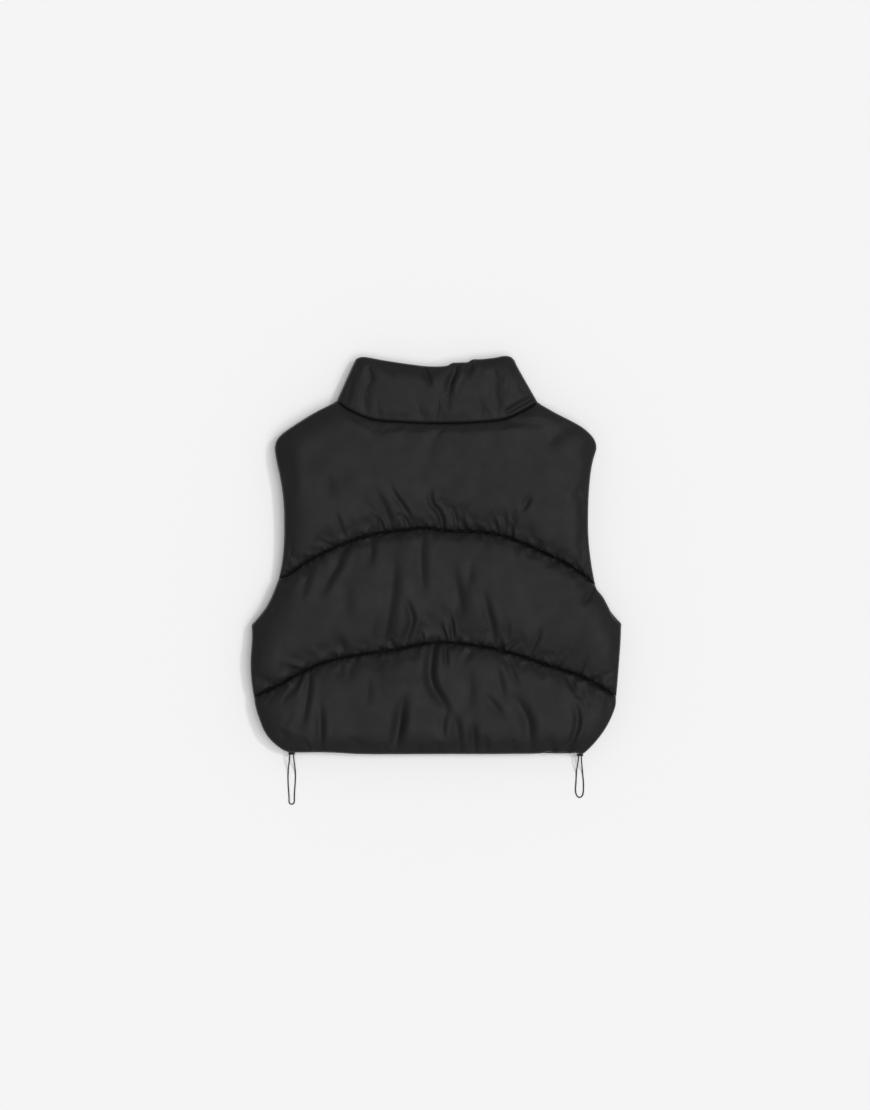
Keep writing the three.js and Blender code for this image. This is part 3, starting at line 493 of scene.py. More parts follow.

# %% Long creases on the back, listed in a table
CREASES = {
    "collar": [
        (5, 4, (-18, 270), (-13, 256), (-9, 245), (-8, 231)),
        (6, 4.5, (31, 273), (29, 256), (23, 244), (19, 232), (18, 218)),
        (6, 4, (55, 281), (52, 266), (48, 258), (41, 248)),
        (2.5, 5, (-96, 267), (-90, 253), (-83, 238)),
        (4, 3, (139, 221), (128, 214), (115, 207), (102, 199)),
        (2, 5, (5, 267), (-1, 256), (-1, 245)),
    ],
    "upper": [
        (3, 8, (-201, 150), (-201, 112), (-200, 71)),
        (3, 11, (184, 178), (167, 161), (150, 141)),
        (2, 4, (-139, 66), (-131, 38), (-122, 20)),
        (2.5, 5, (-88, 99), (-76, 80), (-68, 63), (-62, 41), (-59, 27)),
        (5, 3, (-82, 57), (-74, 39), (-64, 22)),
        (3.5, 3.5, (-68, 106), (-54, 81), (-46, 70), (-38, 57), (-30, 38), (-27, 29)),
        (4, 3, (-51, 62), (-40, 46), (-33, 29)),
        (5, 3.5, (-6, 99), (-5, 74), (5, 60), (10, 48), (13, 27)),
        (3, 3, (20, 71), (27, 56), (31, 29)),
        (6, 4, (30, 57), (41, 39), (52, 22)),
        (5, 4, (48, 46), (61, 35), (74, 21)),
        (3, 3, (69, 49), (79, 29), (85, 17)),
        (5, 3, (80, 53), (86, 34), (93, 14)),
        (2, 4, (92, 66), (96, 49), (99, 27)),
        (4, 3, (104, 46), (106, 28), (108, 13)),
        (3, 4, (135, 85), (127, 71), (118, 55)),
        (3, 3, (-166, 22), (-146, 15), (-124, 14)),
        (3, 3, (-191, 1), (-173, -4), (-158, -4)),
        (3, 3, (-205, -4), (-204, -21), (-209, -38)),
        (2, 6, (197, 99), (200, 85), (204, 71)),
        (1.5, 8, (-150, 119), (-145, 91), (-144, 70)),
        (2, 5, (100, 190), (131, 186), (167, 185)),
    ],
    "middle": [
        (4.5, 6.5, (-115, 29), (-127, 4), (-135, -15), (-148, -38), (-162, -71)),
        (3, 6, (-194, -13), (-205, -32), (-219, -55)),
        (2.5, 6, (-172, -7), (-178, -35), (-188, -74)),
        (3.5, 6, (-89, 32), (-88, 4), (-92, -24)),
        (4.5, 10, (-55, 21), (-55, -21), (-58, -60), (-64, -94), (-68, -126)),
        (4, 4.5, (-44, -52), (-36, -73), (-31, -91), (-40, -122)),
        (3.2, 7, (-16, 32), (-18, -7), (-16, -42), (-13, -69)),
        (4.5, 9, (29, 4), (29, -28), (34, -52), (37, -71), (34, -111)),
        (2.5, 8, (50, 0), (48, -35), (41, -63)),
        (3.5, 5.5, (64, -35), (71, -67), (75, -84), (80, -105), (85, -140)),
        (4, 2.5, (5, -90), (10, -106), (15, -119), (18, -136)),
        (4, 2.5, (19, -80), (23, -99), (26, -133)),
        (3, 3, (-24, -102), (-18, -116), (-12, -133)),
        (3, 3, (-66, -113), (-58, -126), (-51, -139)),
        (3, 6, (-135, -108), (-128, -127), (-121, -147)),
        (4, 3, (88, -111), (92, -126), (97, -144)),
        (3, 3, (120, -120), (102, -129), (86, -136)),
        (2, 4, (146, -94), (142, -115), (130, -140)),
        (3, 4, (219, -50), (211, -63), (200, -71)),
        (3, 3, (234, -168), (218, -172), (201, -178)),
        (4, 3, (-211, -154), (-192, -158), (-174, -161)),
        (1.5, 9, (-118, -28), (-121, -63), (-118, -105)),
    ],
    "lower": [
        (4, 4, (-174, -147), (-186, -167), (-192, -179), (-204, -200)),
        (3, 5, (-174, -164), (-177, -199), (-181, -224), (-184, -252)),
        (4, 5, (-160, -195), (-158, -224), (-158, -252), (-159, -281)),
        (4, 3, (-187, -251), (-176, -266), (-166, -284)),
        (2, 5, (-219, -237), (-211, -246), (-201, -256)),
        (8, 7, (-41, -181), (-44, -210), (-47, -234), (-51, -259), (-57, -290)),
        (3, 3, (-76, -258), (-69, -270), (-62, -287)),
        (7, 6, (-1, -122), (-4, -147), (-5, -167), (-1, -183), (9, -199), (18, -216), (19, -234)),
        (4, 3, (13, -119), (15, -140), (16, -161)),
        (3, 5, (19, -211), (12, -231), (12, -262)),
        (4.5, 7, (24, -211), (33, -245), (36, -281)),
        (5, 6, (51, -225), (55, -256), (57, -287)),
        (3, 5, (69, -245), (71, -266), (66, -287)),
        (3, 6, (62, -186), (78, -203), (88, -216), (99, -232)),
        (2, 5, (83, -144), (92, -182), (99, -211)),
        (2, 4, (100, -141), (108, -164), (117, -186)),
        (5.5, 7, (100, -181), (118, -206), (128, -223), (132, -239), (132, -263), (128, -290)),
        (3, 3, (181, -164), (191, -178), (197, -189)),
        (4, 4, (187, -195), (197, -217), (198, -234), (194, -249), (186, -270)),
        (4, 3, (170, -262), (163, -273), (158, -287)),
        (4, 4, (200, -258), (190, -273), (183, -290)),
        (3, 4, (106, -258), (111, -273), (115, -287)),
        (1.5, 6, (-93, -161), (-92, -189), (-94, -217)),
        (2, 8, (48, -150), (50, -189), (47, -228)),
    ],
}
STEEP_TOWARDS = (0.9, 0.4)
FADING_SHARE = 0.5
HELD_WITHIN = 0.008


def side_of(line, points, along):
    """1 beside a line's steep side and -1 beside its soft side"""
    passed = np.concatenate([[0], np.cumsum(np.linalg.norm(np.diff(line, axis=0), axis=1))])
    nearest_x = np.interp(along, passed, line[:, 0])
    nearest_y = np.interp(along, passed, line[:, 1])
    run = line[-1] - line[0]
    across = np.array([-run[1], run[0]])
    if across @ STEEP_TOWARDS < 0:
        across = -across
    return np.sign((points[..., 0] - nearest_x) * across[0] + (points[..., 1] - nearest_y) * across[1])


def fade(share):
    """0 at a free end of a crease and 1 in its middle, without a corner"""
    share = np.clip(share / FADING_SHARE, 0, 1)
    return share * share * (3 - 2 * share)


def creases(level, edges, points):
    """The depth of a panel's long creases. Each fades out at its free ends, but not where a seam holds it."""
    total = np.zeros(points.shape[:-1])
    for depth, width, *marks in CREASES[level]:
        line = smooth_line(np.array(marks) / 1000, 0.002)
        distance, along = measure_to(line, points)
        share = along / length_of(line)
        fading = 1.0
        for end, from_end in ((line[0], share), (line[-1], 1 - share)):
            to_seam = min(float(measure_to(edge.line, end)[0]) for edge in edges)
            if to_seam > HELD_WITHIN:
                fading = fading * fade(from_end)
        total += depth / 1000 * fading * trough(side_of(line, points, along) * distance, width / 1000)
    return total


# %% [markdown]
# ## Cloth that settles
# A worked-out height is smooth and even, and real cloth isn't. So the outer cloth of each back panel goes
# through Blender's cloth simulation. Its edges are held where they are sewn. It is a little larger than
# the space it covers, which is a negative shrink, and the filling pushes it out, which is the pressure.
# The spare cloth then buckles by itself. Gravity is off, because the filling carries the cloth. The result
# is read back and the modifier goes with the trial piece. No point may move far, so that the panel keeps
# its size, and the cloth beside an edge hardly moves, because the thread holds it there.

# %% Blow up the outer cloth and read it back
CLOTH_STEPS = 20
FARTHEST_MOVE = 0.0025
HELD_STRIP = 0.018
SPARE_CLOTH = 0.02
FILLING_PRESSURE = 1.0


def settling(net, edges):
    """How far each point of a net moves as its cloth comes to rest, held at its rim"""
    columns, rows = net.shape[:2]
    piece = add_mesh("cloth_trial", net, faces_of(columns, rows))
    held = piece.vertex_groups.new(name="sewn")
    held.add(rim_of(columns, rows).tolist(), 1.0, "REPLACE")
    cloth = piece.modifiers.new("cloth", "CLOTH")
    cloth.settings.quality = 5
    cloth.settings.mass = 0.15
    cloth.settings.tension_stiffness = 12
    cloth.settings.compression_stiffness = 12
    cloth.settings.shear_stiffness = 4
    cloth.settings.bending_stiffness = 0.35
    cloth.settings.vertex_group_mass = "sewn"
    cloth.settings.shrink_min = -SPARE_CLOTH
    cloth.settings.use_pressure = True
    cloth.settings.uniform_pressure_force = FILLING_PRESSURE
    cloth.settings.effector_weights.gravity = 0
    cloth.collision_settings.use_collision = False
    cloth.point_cache.frame_start = 1
    cloth.point_cache.frame_end = CLOTH_STEPS
    for number in range(1, CLOTH_STEPS + 1):
        bpy.context.scene.frame_set(number)
    settled = piece.evaluated_get(bpy.context.evaluated_depsgraph_get()).data
    places = np.empty(3 * len(settled.vertices), np.float32)
    settled.vertices.foreach_get("co", places)
    mesh = piece.data
    bpy.data.objects.remove(piece)
    bpy.data.meshes.remove(mesh)
    bpy.context.scene.frame_set(1)
    move = places.reshape(net.shape) - net
    far = np.linalg.norm(move, axis=-1, keepdims=True)
    move = move / np.sqrt(1 + (far / FARTHEST_MOVE) ** 2)
    for edge in edges:
        share = np.clip(measure_to(edge.line, net[..., :2])[0] / HELD_STRIP, 0, 1)
        move = move * (share * share * (3 - 2 * share))[..., None]
    return move


# %% [markdown]
# ## The three panels of the back
# The yoke, the middle and the lower panel are built the same way, so one function makes them. Only the
# edges, the creases and the seed of the random generator differ.

# %% Build the back
BACK_PITCH = 0.0046
BACK_CORNERS = {
    "upper": {
        "bottom": ["seam_one_left", "seam_one_right"],
        "top": ["shoulder_left", "neck_left", "neck_right", "shoulder_right"],
        "left": ["seam_one_left", "shoulder_left"],
        "right": ["seam_one_right", "shoulder_right"],
    },
    "middle": {
        "bottom": ["seam_two_left", "seam_two_right"],
        "top": ["seam_one_left", "seam_one_right"],
        "left": ["seam_two_left", "underarm_left", "seam_one_left"],
        "right": ["seam_two_right", "underarm_right", "seam_one_right"],
    },
    "lower": {
        "bottom": ["hem_left", "hem_right"],
        "top": ["seam_two_left", "seam_two_right"],
        "left": ["hem_left", "seam_two_left"],
        "right": ["hem_right", "seam_two_right"],
    },
}
QUILTED_SIDES = {"upper": ["bottom"], "middle": ["bottom", "top"], "lower": ["top"]}
BACK_SEEDS = {"upper": 11, "middle": 23, "lower": 37}
SEAM_PUCKERS = 0.0022
SHORT_SEAM_PUCKERS = 0.0048
SHORT_SEEDS = {"upper": 5, "middle": 7, "lower": 9}
HEM_PUCKERS = 0.0008


def edge_along(loop, side, names, reach, quilted):
    """An edge read from a panel's outline, through the named corners"""
    stretches = []
    reaches = []
    sewn_heights = []
    for start, end in zip(names, names[1:]):
        at_neck = side == "top" and start.startswith(("neck", "zip")) and end.startswith(("neck", "zip"))
        reaches.append(NECK_REACH if at_neck else reach)
        sewn_heights.append(NECK_HEIGHT if at_neck else SEAM_HEIGHT if quilted else 0.0)
        if side in ("bottom", "right"):
            stretches.append(part_of(loop, corner_of(loop, start), corner_of(loop, end)))
        else:
            stretches.append(part_of(loop, corner_of(loop, end), corner_of(loop, start))[::-1])
    return Edge(stretches, reaches, sewn_heights, quilted)


def panel_edges(loop, level, corners):
    edges = {}
    for side, names in corners.items():
        quilted = side in QUILTED_SIDES[level]
        edges[side] = edge_along(loop, side, names, SEAM_REACH if quilted else RIM_REACH, quilted)
    return edges


def plan_net(edges, pitch):
    across_joins = edges["top"].joins or edges["bottom"].joins
    up_joins = edges["left"].joins or edges["right"].joins
    across = stations(edges["bottom"].length, across_joins, pitch)
    up = stations(edges["left"].length, up_joins, pitch)
    return net_between(edges["bottom"], edges["top"], edges["left"], edges["right"], across, up)


def raised(plan, heights, level, facing):
    """A net in space from a net in plan and its heights"""
    return np.concatenate([plan, (level + facing * heights)[..., None]], axis=-1)


def back_heights(level, edges, plan):
    """The height of a back panel's filling, with its lumps, creases and puckers"""
    rng = np.random.default_rng(BACK_SEEDS[level])
    short_rng = np.random.default_rng(SHORT_SEEDS[level])
    sides = list(edges.values())
    heights, free = filling(sides, plan, BACK_LOFT)
    dents = creases(level, sides, plan) + lumps(plan, 0.13, 0.0010, rng) + lumps(plan, 0.05, 0.0003, rng)
    heights = heights - dents * np.sqrt(free)
    for side, edge in edges.items():
        if edge.quilted or (level, side) == ("lower", "bottom"):
            distance, along = measure_to(edge.line, plan)
            depth = SEAM_PUCKERS if edge.quilted else HEM_PUCKERS
            fold = puckers(edge, distance, along, depth, rng)
            heights = heights - fold * np.clip(free * 3, 0, 1)
        if edge.quilted:
            fold = puckers(edge, distance, along, SHORT_SEAM_PUCKERS, short_rng, SHORT_PUCKERS)
            heights = heights - fold * np.clip(free * 3, 0, 1)
    return np.maximum(heights, PINCHED_HEIGHT)


def make_back(level):
    node = f"back_{level}"
    edges = panel_edges(flat_outline(node, BACK_LEVEL), level, BACK_CORNERS[level])
    plan = plan_net(edges, BACK_PITCH)
    fine_plan = finer(finer(plan))
    fine = raised(fine_plan, back_heights(level, edges, fine_plan), BACK_LEVEL, 1)
    start = raised(plan, back_heights(level, edges, plan), BACK_LEVEL, 1)
    fine += finer(finer(settling(start, edges.values())))
    fine[..., 2] = np.maximum(fine[..., 2], BACK_LEVEL + PINCHED_HEIGHT / 2)
    piece = panel_piece(f"back_panel_{level}", fine, BACK_LEVEL, True)
    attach(piece, "vest")
    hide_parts(node)
    print(node, "net:", fine.shape[:2], "highest in mm:", round(1000 * float(fine[..., 2].max()), 1))
    return piece, edges


back_pieces = []
back_edges = {}
for level in BACK_CORNERS:
    piece, back_edges[level] = make_back(level)
    back_pieces.append(piece)

# %% [markdown]
# ## The fronts under the back
# Each front has the same three rows, from the side seam to the zip. The vest's own weight presses them flat
# on the table, so their outer cloth faces down and only their edges round away. A simulation would
# change nothing that can be seen, so the worked-out height is used and cut off at the table.

# %% Build the fronts
FRONT_PITCH = 0.006
TABLE_CLEARANCE = 0.0001
FRONT_PUCKERS = 0.0014
FRONT_SEED = 51
LEFT_FRONT_CORNERS = {
    "upper": {
        "bottom": ["seam_one_left", "zip_bottom"],
        "top": ["shoulder_left", "neck_left", "zip_top"],
        "left": ["seam_one_left", "shoulder_left"],
        "right": ["zip_bottom", "zip_top"],
    },
    "middle": {
        "bottom": ["seam_two_left", "zip_bottom"],
        "top": ["seam_one_left", "zip_top"],
        "left": ["seam_two_left", "underarm_left", "seam_one_left"],
        "right": ["zip_bottom", "zip_top"],
    },
    "lower": {
        "bottom": ["hem_left", "zip_bottom"],
        "top": ["seam_two_left", "zip_top"],
        "left": ["hem_left", "seam_two_left"],
        "right": ["zip_bottom", "zip_top"],
    },
}


def right_front_corners(corners):
    """The left front's corners in their order on the right front"""
    other = {"bottom": "bottom", "top": "top", "left": "right", "right": "left"}
    turned = {}
    for side, names in corners.items():
        names = [name.replace("left", "right") for name in names]
        turned[other[side]] = names[::-1] if side in ("bottom", "top") else names
    return turned


def make_front(side, level, seed):
    node = f"front_{side}_{level}"
    corners = LEFT_FRONT_CORNERS[level]
    if side == "right":
        corners = right_front_corners(corners)
    edges = panel_edges(flat_outline(node, FRONT_LEVEL), level, corners)
    plan = finer(plan_net(edges, FRONT_PITCH))
    rng = np.random.default_rng(seed)
    sides = list(edges.values())
    heights, free = filling(sides, plan, FRONT_LOFT)
    for edge in sides:
        distance, along = measure_to(edge.line, plan)
        fold = puckers(edge, distance, along, FRONT_PUCKERS, rng)
        heights = heights - fold * np.clip(free * 3, 0, 1)
    heights = np.clip(heights, PINCHED_HEIGHT, FRONT_LEVEL - TABLE_CLEARANCE)
    outer = raised(plan, heights, FRONT_LEVEL, -1)
    piece = panel_piece(f"front_panel_{side}_{level}", outer, FRONT_LEVEL, False)
    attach(piece, "vest")
    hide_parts(node)
    return piece, edges


front_pieces = []
front_edges = {}
for side in ("left", "right"):
    for level in LEFT_FRONT_CORNERS:
        piece, edges = make_front(side, level, FRONT_SEED + len(front_pieces))
        front_pieces.append(piece)
        front_edges[side, level] = edges
print("front panels:", len(front_pieces))

# %% [markdown]
# ## The stand collar
# The collar is one padded band from the zip round the neck and back to the zip. Laid flat it folds at
# both sides, so its back half faces up and its two front halves face down. It could be three pieces, but
# the cloth has no seam at the folds, so one net runs through all of it. The upper edges are short curves
# through given points, and the lower ones are the neck seams of the yoke and the fronts.

# %% The collar's edges
SEAM_GAP = BACK_LEVEL - FRONT_LEVEL
COLLAR_LOFT = LOFT_SHARE * (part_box("collar")[1].z - BACK_LEVEL) - RIM_HEIGHT
COLLAR_REACH = 0.027
COLLAR_LEFT = (-0.1115, 0.2750)
COLLAR_RIGHT = (0.1085, 0.2730)
COLLAR_ZIP_X = 0.007
COLLAR_ZIP_TOP = 0.2330
COLLAR_TOP = [
    COLLAR_LEFT, (-0.1043, 0.2772), (-0.0710, 0.2720), (-0.0370, 0.2670), (-0.0090, 0.2640),
    (0.0150, 0.2650), (0.0220, 0.2686), (0.0330, 0.2695), (0.0440, 0.2700), (0.0500, 0.2736),
    (0.0610, 0.2740), (0.0805, 0.2760), (0.0960, 0.2786), (0.1040, 0.2770), COLLAR_RIGHT,
]
COLLAR_SIDES = {
    "left": [CORNERS["neck_left"], (-0.1155, 0.2674), COLLAR_LEFT],
    "right": [CORNERS["neck_right"], (0.1110, 0.2670), COLLAR_RIGHT],
}
COLLAR_FRONT_TOPS = {
    "left": [COLLAR_LEFT, (-0.0800, 0.2580), (-0.0450, 0.2400), (-COLLAR_ZIP_X, COLLAR_ZIP_TOP)],
    "right": [(COLLAR_ZIP_X, COLLAR_ZIP_TOP), (0.0450, 0.2400), (0.0800, 0.2580), COLLAR_RIGHT],
}


def collar_edge(line):
    return Edge([smooth_line(line, LINE_STEP)], [COLLAR_REACH], [0.0])


def moved_up(line):
    """A neck seam's line moved to the collar's side of the seam"""
    return line + np.array([0, SEAM_GAP])


def neck_seam(node, level, start, end):
    loop = flat_outline(node, level)
    return moved_up(part_of(loop, corner_of(loop, end), corner_of(loop, start))[::-1])


def collar_parts():
    """The four edges of the collar's back half and of its two front halves"""
    side_lines = {side: collar_edge(line) for side, line in COLLAR_SIDES.items()}
    seams = {
        "back": neck_seam("back_upper", BACK_LEVEL, "neck_left", "neck_right"),
        "left": neck_seam("front_left_upper", FRONT_LEVEL, "neck_left", "zip_top"),
        "right": neck_seam("front_right_upper", FRONT_LEVEL, "zip_top", "neck_right"),
    }
    bottoms = {side: Edge([seam], [COLLAR_REACH], [NECK_HEIGHT]) for side, seam in seams.items()}
    parts = {"back": (bottoms["back"], collar_edge(COLLAR_TOP), *side_lines.values())}
    for side, top in COLLAR_FRONT_TOPS.items():
        zip_end = seams[side][-1] if side == "left" else seams[side][0]
        zip_top = top[-1] if side == "left" else top[0]
        zip_line = smooth_line([zip_end, (zip_end + zip_top) / 2, zip_top], LINE_STEP)
        beside_zip = Edge([zip_line], [RIM_REACH], [0.0])
        ends = (side_lines["left"], beside_zip) if side == "left" else (beside_zip, side_lines["right"])
        parts[side] = (bottoms[side], collar_edge(top), *ends)
    return parts


# %% Build the collar in one net
COLLAR_FOLD_INSET = 0.006
COLLAR_FOLD_BULGE = 0.0006
COLLAR_SEED = 71
COLLAR_PITCH = 0.0030
COLLAR_PUCKERS = 0.0004


def inset_shares(shares, at_start, at_end, inset):
    """Shares pressed together so that a fold's inner side stays this far inside the fold"""
    start = inset if at_start else 0
    end = 1 - inset if at_end else 1
    return start + (end - start) * shares


def collar_heights(edges, plan, is_back, rng):
    heights, free = filling(edges, plan, COLLAR_LOFT)
    if is_back:
        dents = creases("collar", edges, plan) + lumps(plan, 0.08, 0.0005, rng)
        heights = heights - dents * np.sqrt(free)
    for edge in edges[:2]:
        distance, along = measure_to(edge.line, plan)
        fold = puckers(edge, distance, along, COLLAR_PUCKERS, rng)
        heights = heights - fold * np.clip(free * 3, 0, 1)
    limit = 1 if is_back else FRONT_LEVEL - TABLE_CLEARANCE
    return np.clip(heights, PINCHED_HEIGHT, limit)


def collar_half(name, edges, up, rng):
    """The outer and inner nets of one part of the collar"""
    is_back = name == "back"
    level, facing = (BACK_LEVEL, 1) if is_back else (FRONT_LEVEL, -1)
    across = stations(edges[0].length, [], COLLAR_PITCH)
    plan = net_between(*edges, across, up)
    fine_plan = finer(plan)
    outer = raised(fine_plan, collar_heights(edges, fine_plan, is_back, rng), level, facing)
    if is_back:
        start = raised(plan, collar_heights(edges, plan, True, np.random.default_rng(COLLAR_SEED)), level, 1)
        outer += finer(settling(start, edges))
    inset = COLLAR_FOLD_INSET / edges[0].length
    inner_across = inset_shares(between(across), name != "right", name != "left", inset)
    inner_plan = net_between(*edges, inner_across, between(up))
    return outer, raised(inner_plan, np.zeros(inner_plan.shape[:2]), level, facing)


def fold_column(outer, inner, index):
    """One column round the outside of a fold, halfway between the layers"""
    away = outer[index, :, :2] - inner[index, :, :2]
    away /= np.linalg.norm(away, axis=1, keepdims=True)
    middle = np.full((len(away), 1), (BACK_LEVEL + FRONT_LEVEL) / 2)
    outside = np.concatenate([outer[index, :, :2] + COLLAR_FOLD_BULGE * away, middle], axis=1)
    inside = np.concatenate([inner[index, :, :2], middle], axis=1)
    return outside[None], inside[None]


def make_collar():
    rng = np.random.default_rng(COLLAR_SEED)
    parts = collar_parts()
    up = stations(parts["back"][2].length, [], COLLAR_PITCH)
    halves = {name: collar_half(name, edges, up, rng) for name, edges in parts.items()}
    back_outer, back_inner = halves["back"]
    left_fold = fold_column(back_outer, back_inner, 0)
    right_fold = fold_column(back_outer, back_inner, -1)
    columns = [
        [half[::-1] for half in halves["left"]], left_fold, halves["back"], right_fold,
        [half[::-1] for half in halves["right"]],
    ]
    outer, inner = (np.concatenate([column[layer] for column in columns]) for layer in (0, 1))
    piece = closed_piece("collar_band", outer, inner, True)
    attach(piece, "vest")
    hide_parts("collar")
    print("collar net:", outer.shape[:2], "highest in mm:", round(1000 * float(outer[..., 2].max()), 1))
    return piece


collar_piece = make_collar()

# %% [markdown]
# ## The zip
# A moulded zip has two woven tapes, and each tape carries a row of teeth that hook between those of the other.
# The teeth are all alike, so one tooth is worked out and repeated by a loop into one mesh for each side.
# The two rows are half a pitch apart, which is what makes them mesh. The slider, its pull tab and the box
# keep their solids, because those have the right shape. A bevel modifier takes the sharpness off their
# edges.

# %% Tapes and teeth
TAPE_THICKNESS = 0.0007
TOOTH_PITCH = 0.0025
TOOTH_WIDTH = 0.00115
TOOTH_HEIGHT = 0.0017
TOOTH_ROOT = 0.0024
TOOTH_REACH = 0.0011
TOOTH_CORNER = 0.00025
TOOTH_GAP = 0.0004
TAPE_MIDDLE = (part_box("zip_tape_left")[0].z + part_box("zip_tape_left")[1].z) / 2


def rounded_box(size, corner):
    """The points and faces of a box around the origin with its edges cut off"""
    shape = bmesh.new()
    bmesh.ops.create_cube(shape, size=1)
    bmesh.ops.scale(shape, vec=size, verts=shape.verts)
    bmesh.ops.bevel(shape, geom=shape.edges[:], offset=corner, segments=1, affect="EDGES")
    points = np.array([vertex.co[:] for vertex in shape.verts])
    faces = [[vertex.index for vertex in face.verts] for face in shape.faces]
    shape.free()
    return points, faces


def repeated(name, shape, places, turns=None):
    """One mesh of copies of a shape, each turned about Z and then moved to its place"""
    points, faces = shape
    turns = np.zeros(len(places)) if turns is None else np.asarray(turns)
    cos, sin = np.cos(turns)[:, None], np.sin(turns)[:, None]
    x, y, z = points.T
    copies = np.stack([x * cos - y * sin, x * sin + y * cos, z + 0 * cos], axis=2) + np.asarray(places)[:, None]
    all_faces = [[index + copy * len(points) for index in face] for copy in range(len(places)) for face in faces]
    return add_mesh(name, copies.reshape(-1, 3), all_faces)


def make_teeth(side, sign):
    """One row of teeth, each rooted on its tape and reaching just past the middle"""
    low_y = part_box("zip_box")[1].y + TOOTH_GAP
    high_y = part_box("zip_slider")[0].y - TOOTH_GAP
    length = TOOTH_ROOT + TOOTH_REACH
    shape = rounded_box((length, TOOTH_WIDTH, TOOTH_HEIGHT), TOOTH_CORNER)
    first = low_y + TOOTH_PITCH * (0.25 if side == "left" else 0.75)
    rows = np.arange(first, high_y - TOOTH_WIDTH / 2, TOOTH_PITCH)
    middle_x = sign * (length / 2 - TOOTH_REACH)
    piece = repeated(f"zip_teeth_{side}", shape, [(middle_x, y, TAPE_MIDDLE) for y in rows])
    piece.data.polygons.foreach_set("use_smooth", np.zeros(len(piece.data.polygons), bool))
    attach(piece, "vest")
    print(piece.name, "teeth:", len(rows))
    return piece


def make_tape(side):
    """A thin woven tape in its solid's place, with the same outline"""
    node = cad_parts[f"zip_tape_{side}"]
    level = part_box(node.name)[0].z
    outline = flat_outline(node.name, level)
    shape = bmesh.new()
    rim = [shape.verts.new((x, y, TAPE_MIDDLE - TAPE_THICKNESS / 2)) for x, y in outline]
    face = shape.faces.new(rim)
    raised_part = bmesh.ops.extrude_face_region(shape, geom=[face])
    top = [part for part in raised_part["geom"] if isinstance(part, bmesh.types.BMVert)]
    bmesh.ops.translate(shape, vec=(0, 0, TAPE_THICKNESS), verts=top)
    bmesh.ops.recalc_face_normals(shape, faces=shape.faces[:])
    mesh = bpy.data.meshes.new(f"zip_tape_woven_{side}")
    shape.to_mesh(mesh)
    shape.free()
    piece = bpy.data.objects.new(mesh.name, mesh)
    bpy.context.scene.collection.objects.link(piece)
    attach(piece, "vest")
    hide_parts(node.name)
    return piece


teeth_pieces = [make_teeth(side, sign) for side, sign in (("left", -1), ("right", 1))]
tape_pieces = [make_tape(side) for side in ("left", "right")]

# %% Soften the edges of the slider, the pull tab and the box
METAL_ROUNDING = {"zip_slider": 0.0003, "zip_pull": 0.00035, "zip_box": 0.0004}


def soften(node, width):
    """Rounded edges on a solid that keeps its own mesh"""
    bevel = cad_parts[node].modifiers.new("rounding", "BEVEL")
    bevel.width = width
    bevel.segments = 3
    bevel.limit_method = "ANGLE"
    bevel.angle_limit = math.radians(35)
    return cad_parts[node]


metal_pieces = [soften(node, width) for node, width in METAL_ROUNDING.items()]

# %% [markdown]
# ## Outlets and stitching
# At each side the cord leaves the hem through a small folded tab of the shell cloth. A rounded block that
# swells a little in the middle shows it. The quilting thread lies at the bottom of each seam, in short
# stitches with small gaps. One stitch is worked out and repeated along the middle line of the seam, turned
# each time to the seam's direction.

# %% Make the outlets
OUTLET_ROUNDING = 0.0013


def make_outlet(side):
    node = f"cord_outlet_{side}"
    low, high = (np.array(corner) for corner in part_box(node))
    shape = bmesh.new()
    bmesh.ops.create_cube(shape, size=1)
    bmesh.ops.scale(shape, vec=high - low, verts=shape.verts)
    bmesh.ops.subdivide_edges(shape, edges=shape.edges[:], cuts=3, use_grid_fill=True)
    for vertex in shape.verts:
        swell = 1 - (2 * vertex.co.x / (high - low)[0]) ** 2
        vertex.co.z *= 0.82 + 0.18 * swell
    bmesh.ops.translate(shape, vec=(low + high) / 2, verts=shape.verts)
    mesh = bpy.data.meshes.new(f"outlet_tab_{side}")
    shape.to_mesh(mesh)
    shape.free()
    mesh.polygons.foreach_set("use_smooth", np.ones(len(mesh.polygons), bool))
    piece = bpy.data.objects.new(mesh.name, mesh)
    bpy.context.scene.collection.objects.link(piece)
    smooth = piece.modifiers.new("rounding", "SUBSURF")
    smooth.levels = smooth.render_levels = 2
    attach(piece, "vest")
    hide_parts(node)
    return piece


outlet_pieces = [make_outlet(side) for side in ("left", "right")]

# %% Sew the quilting seams
STITCH_LENGTH = 0.0026
STITCH_PITCH = 0.0034
THREAD_WIDTH = 0.0004


def sew(name, line, heights):
    """A row of stitches along a line in plan, with the height at each of its points"""
    along = np.concatenate([[0], np.cumsum(np.linalg.norm(np.diff(line, axis=0), axis=1))])
    marks = np.arange(STITCH_PITCH, along[-1] - STITCH_PITCH, STITCH_PITCH)
    x, y = (np.interp(marks, along, axis) for axis in line.T)
    ahead_x, ahead_y = (np.interp(marks + STITCH_LENGTH / 2, along, axis) for axis in line.T)
    places = np.stack([x, y, np.interp(marks, along, heights)], axis=1)
    shape = rounded_box((STITCH_LENGTH, THREAD_WIDTH, THREAD_WIDTH), THREAD_WIDTH / 3)
    piece = repeated(name, shape, places, np.arctan2(ahead_y - y, ahead_x - x))
    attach(piece, "vest")
    print(name, "stitches:", len(marks))
    return piece


def sew_top_of(name, edges, loft, level, facing):
    """Sew along a panel's upper edge, half a gap outside it and on the cloth there"""
    line = edges["top"].line
    heights = filling(list(edges.values()), line, loft)[0] - THREAD_WIDTH / 4
    return sew(name, line + np.array([0, SEAM_GAP / 2]), level + facing * heights)


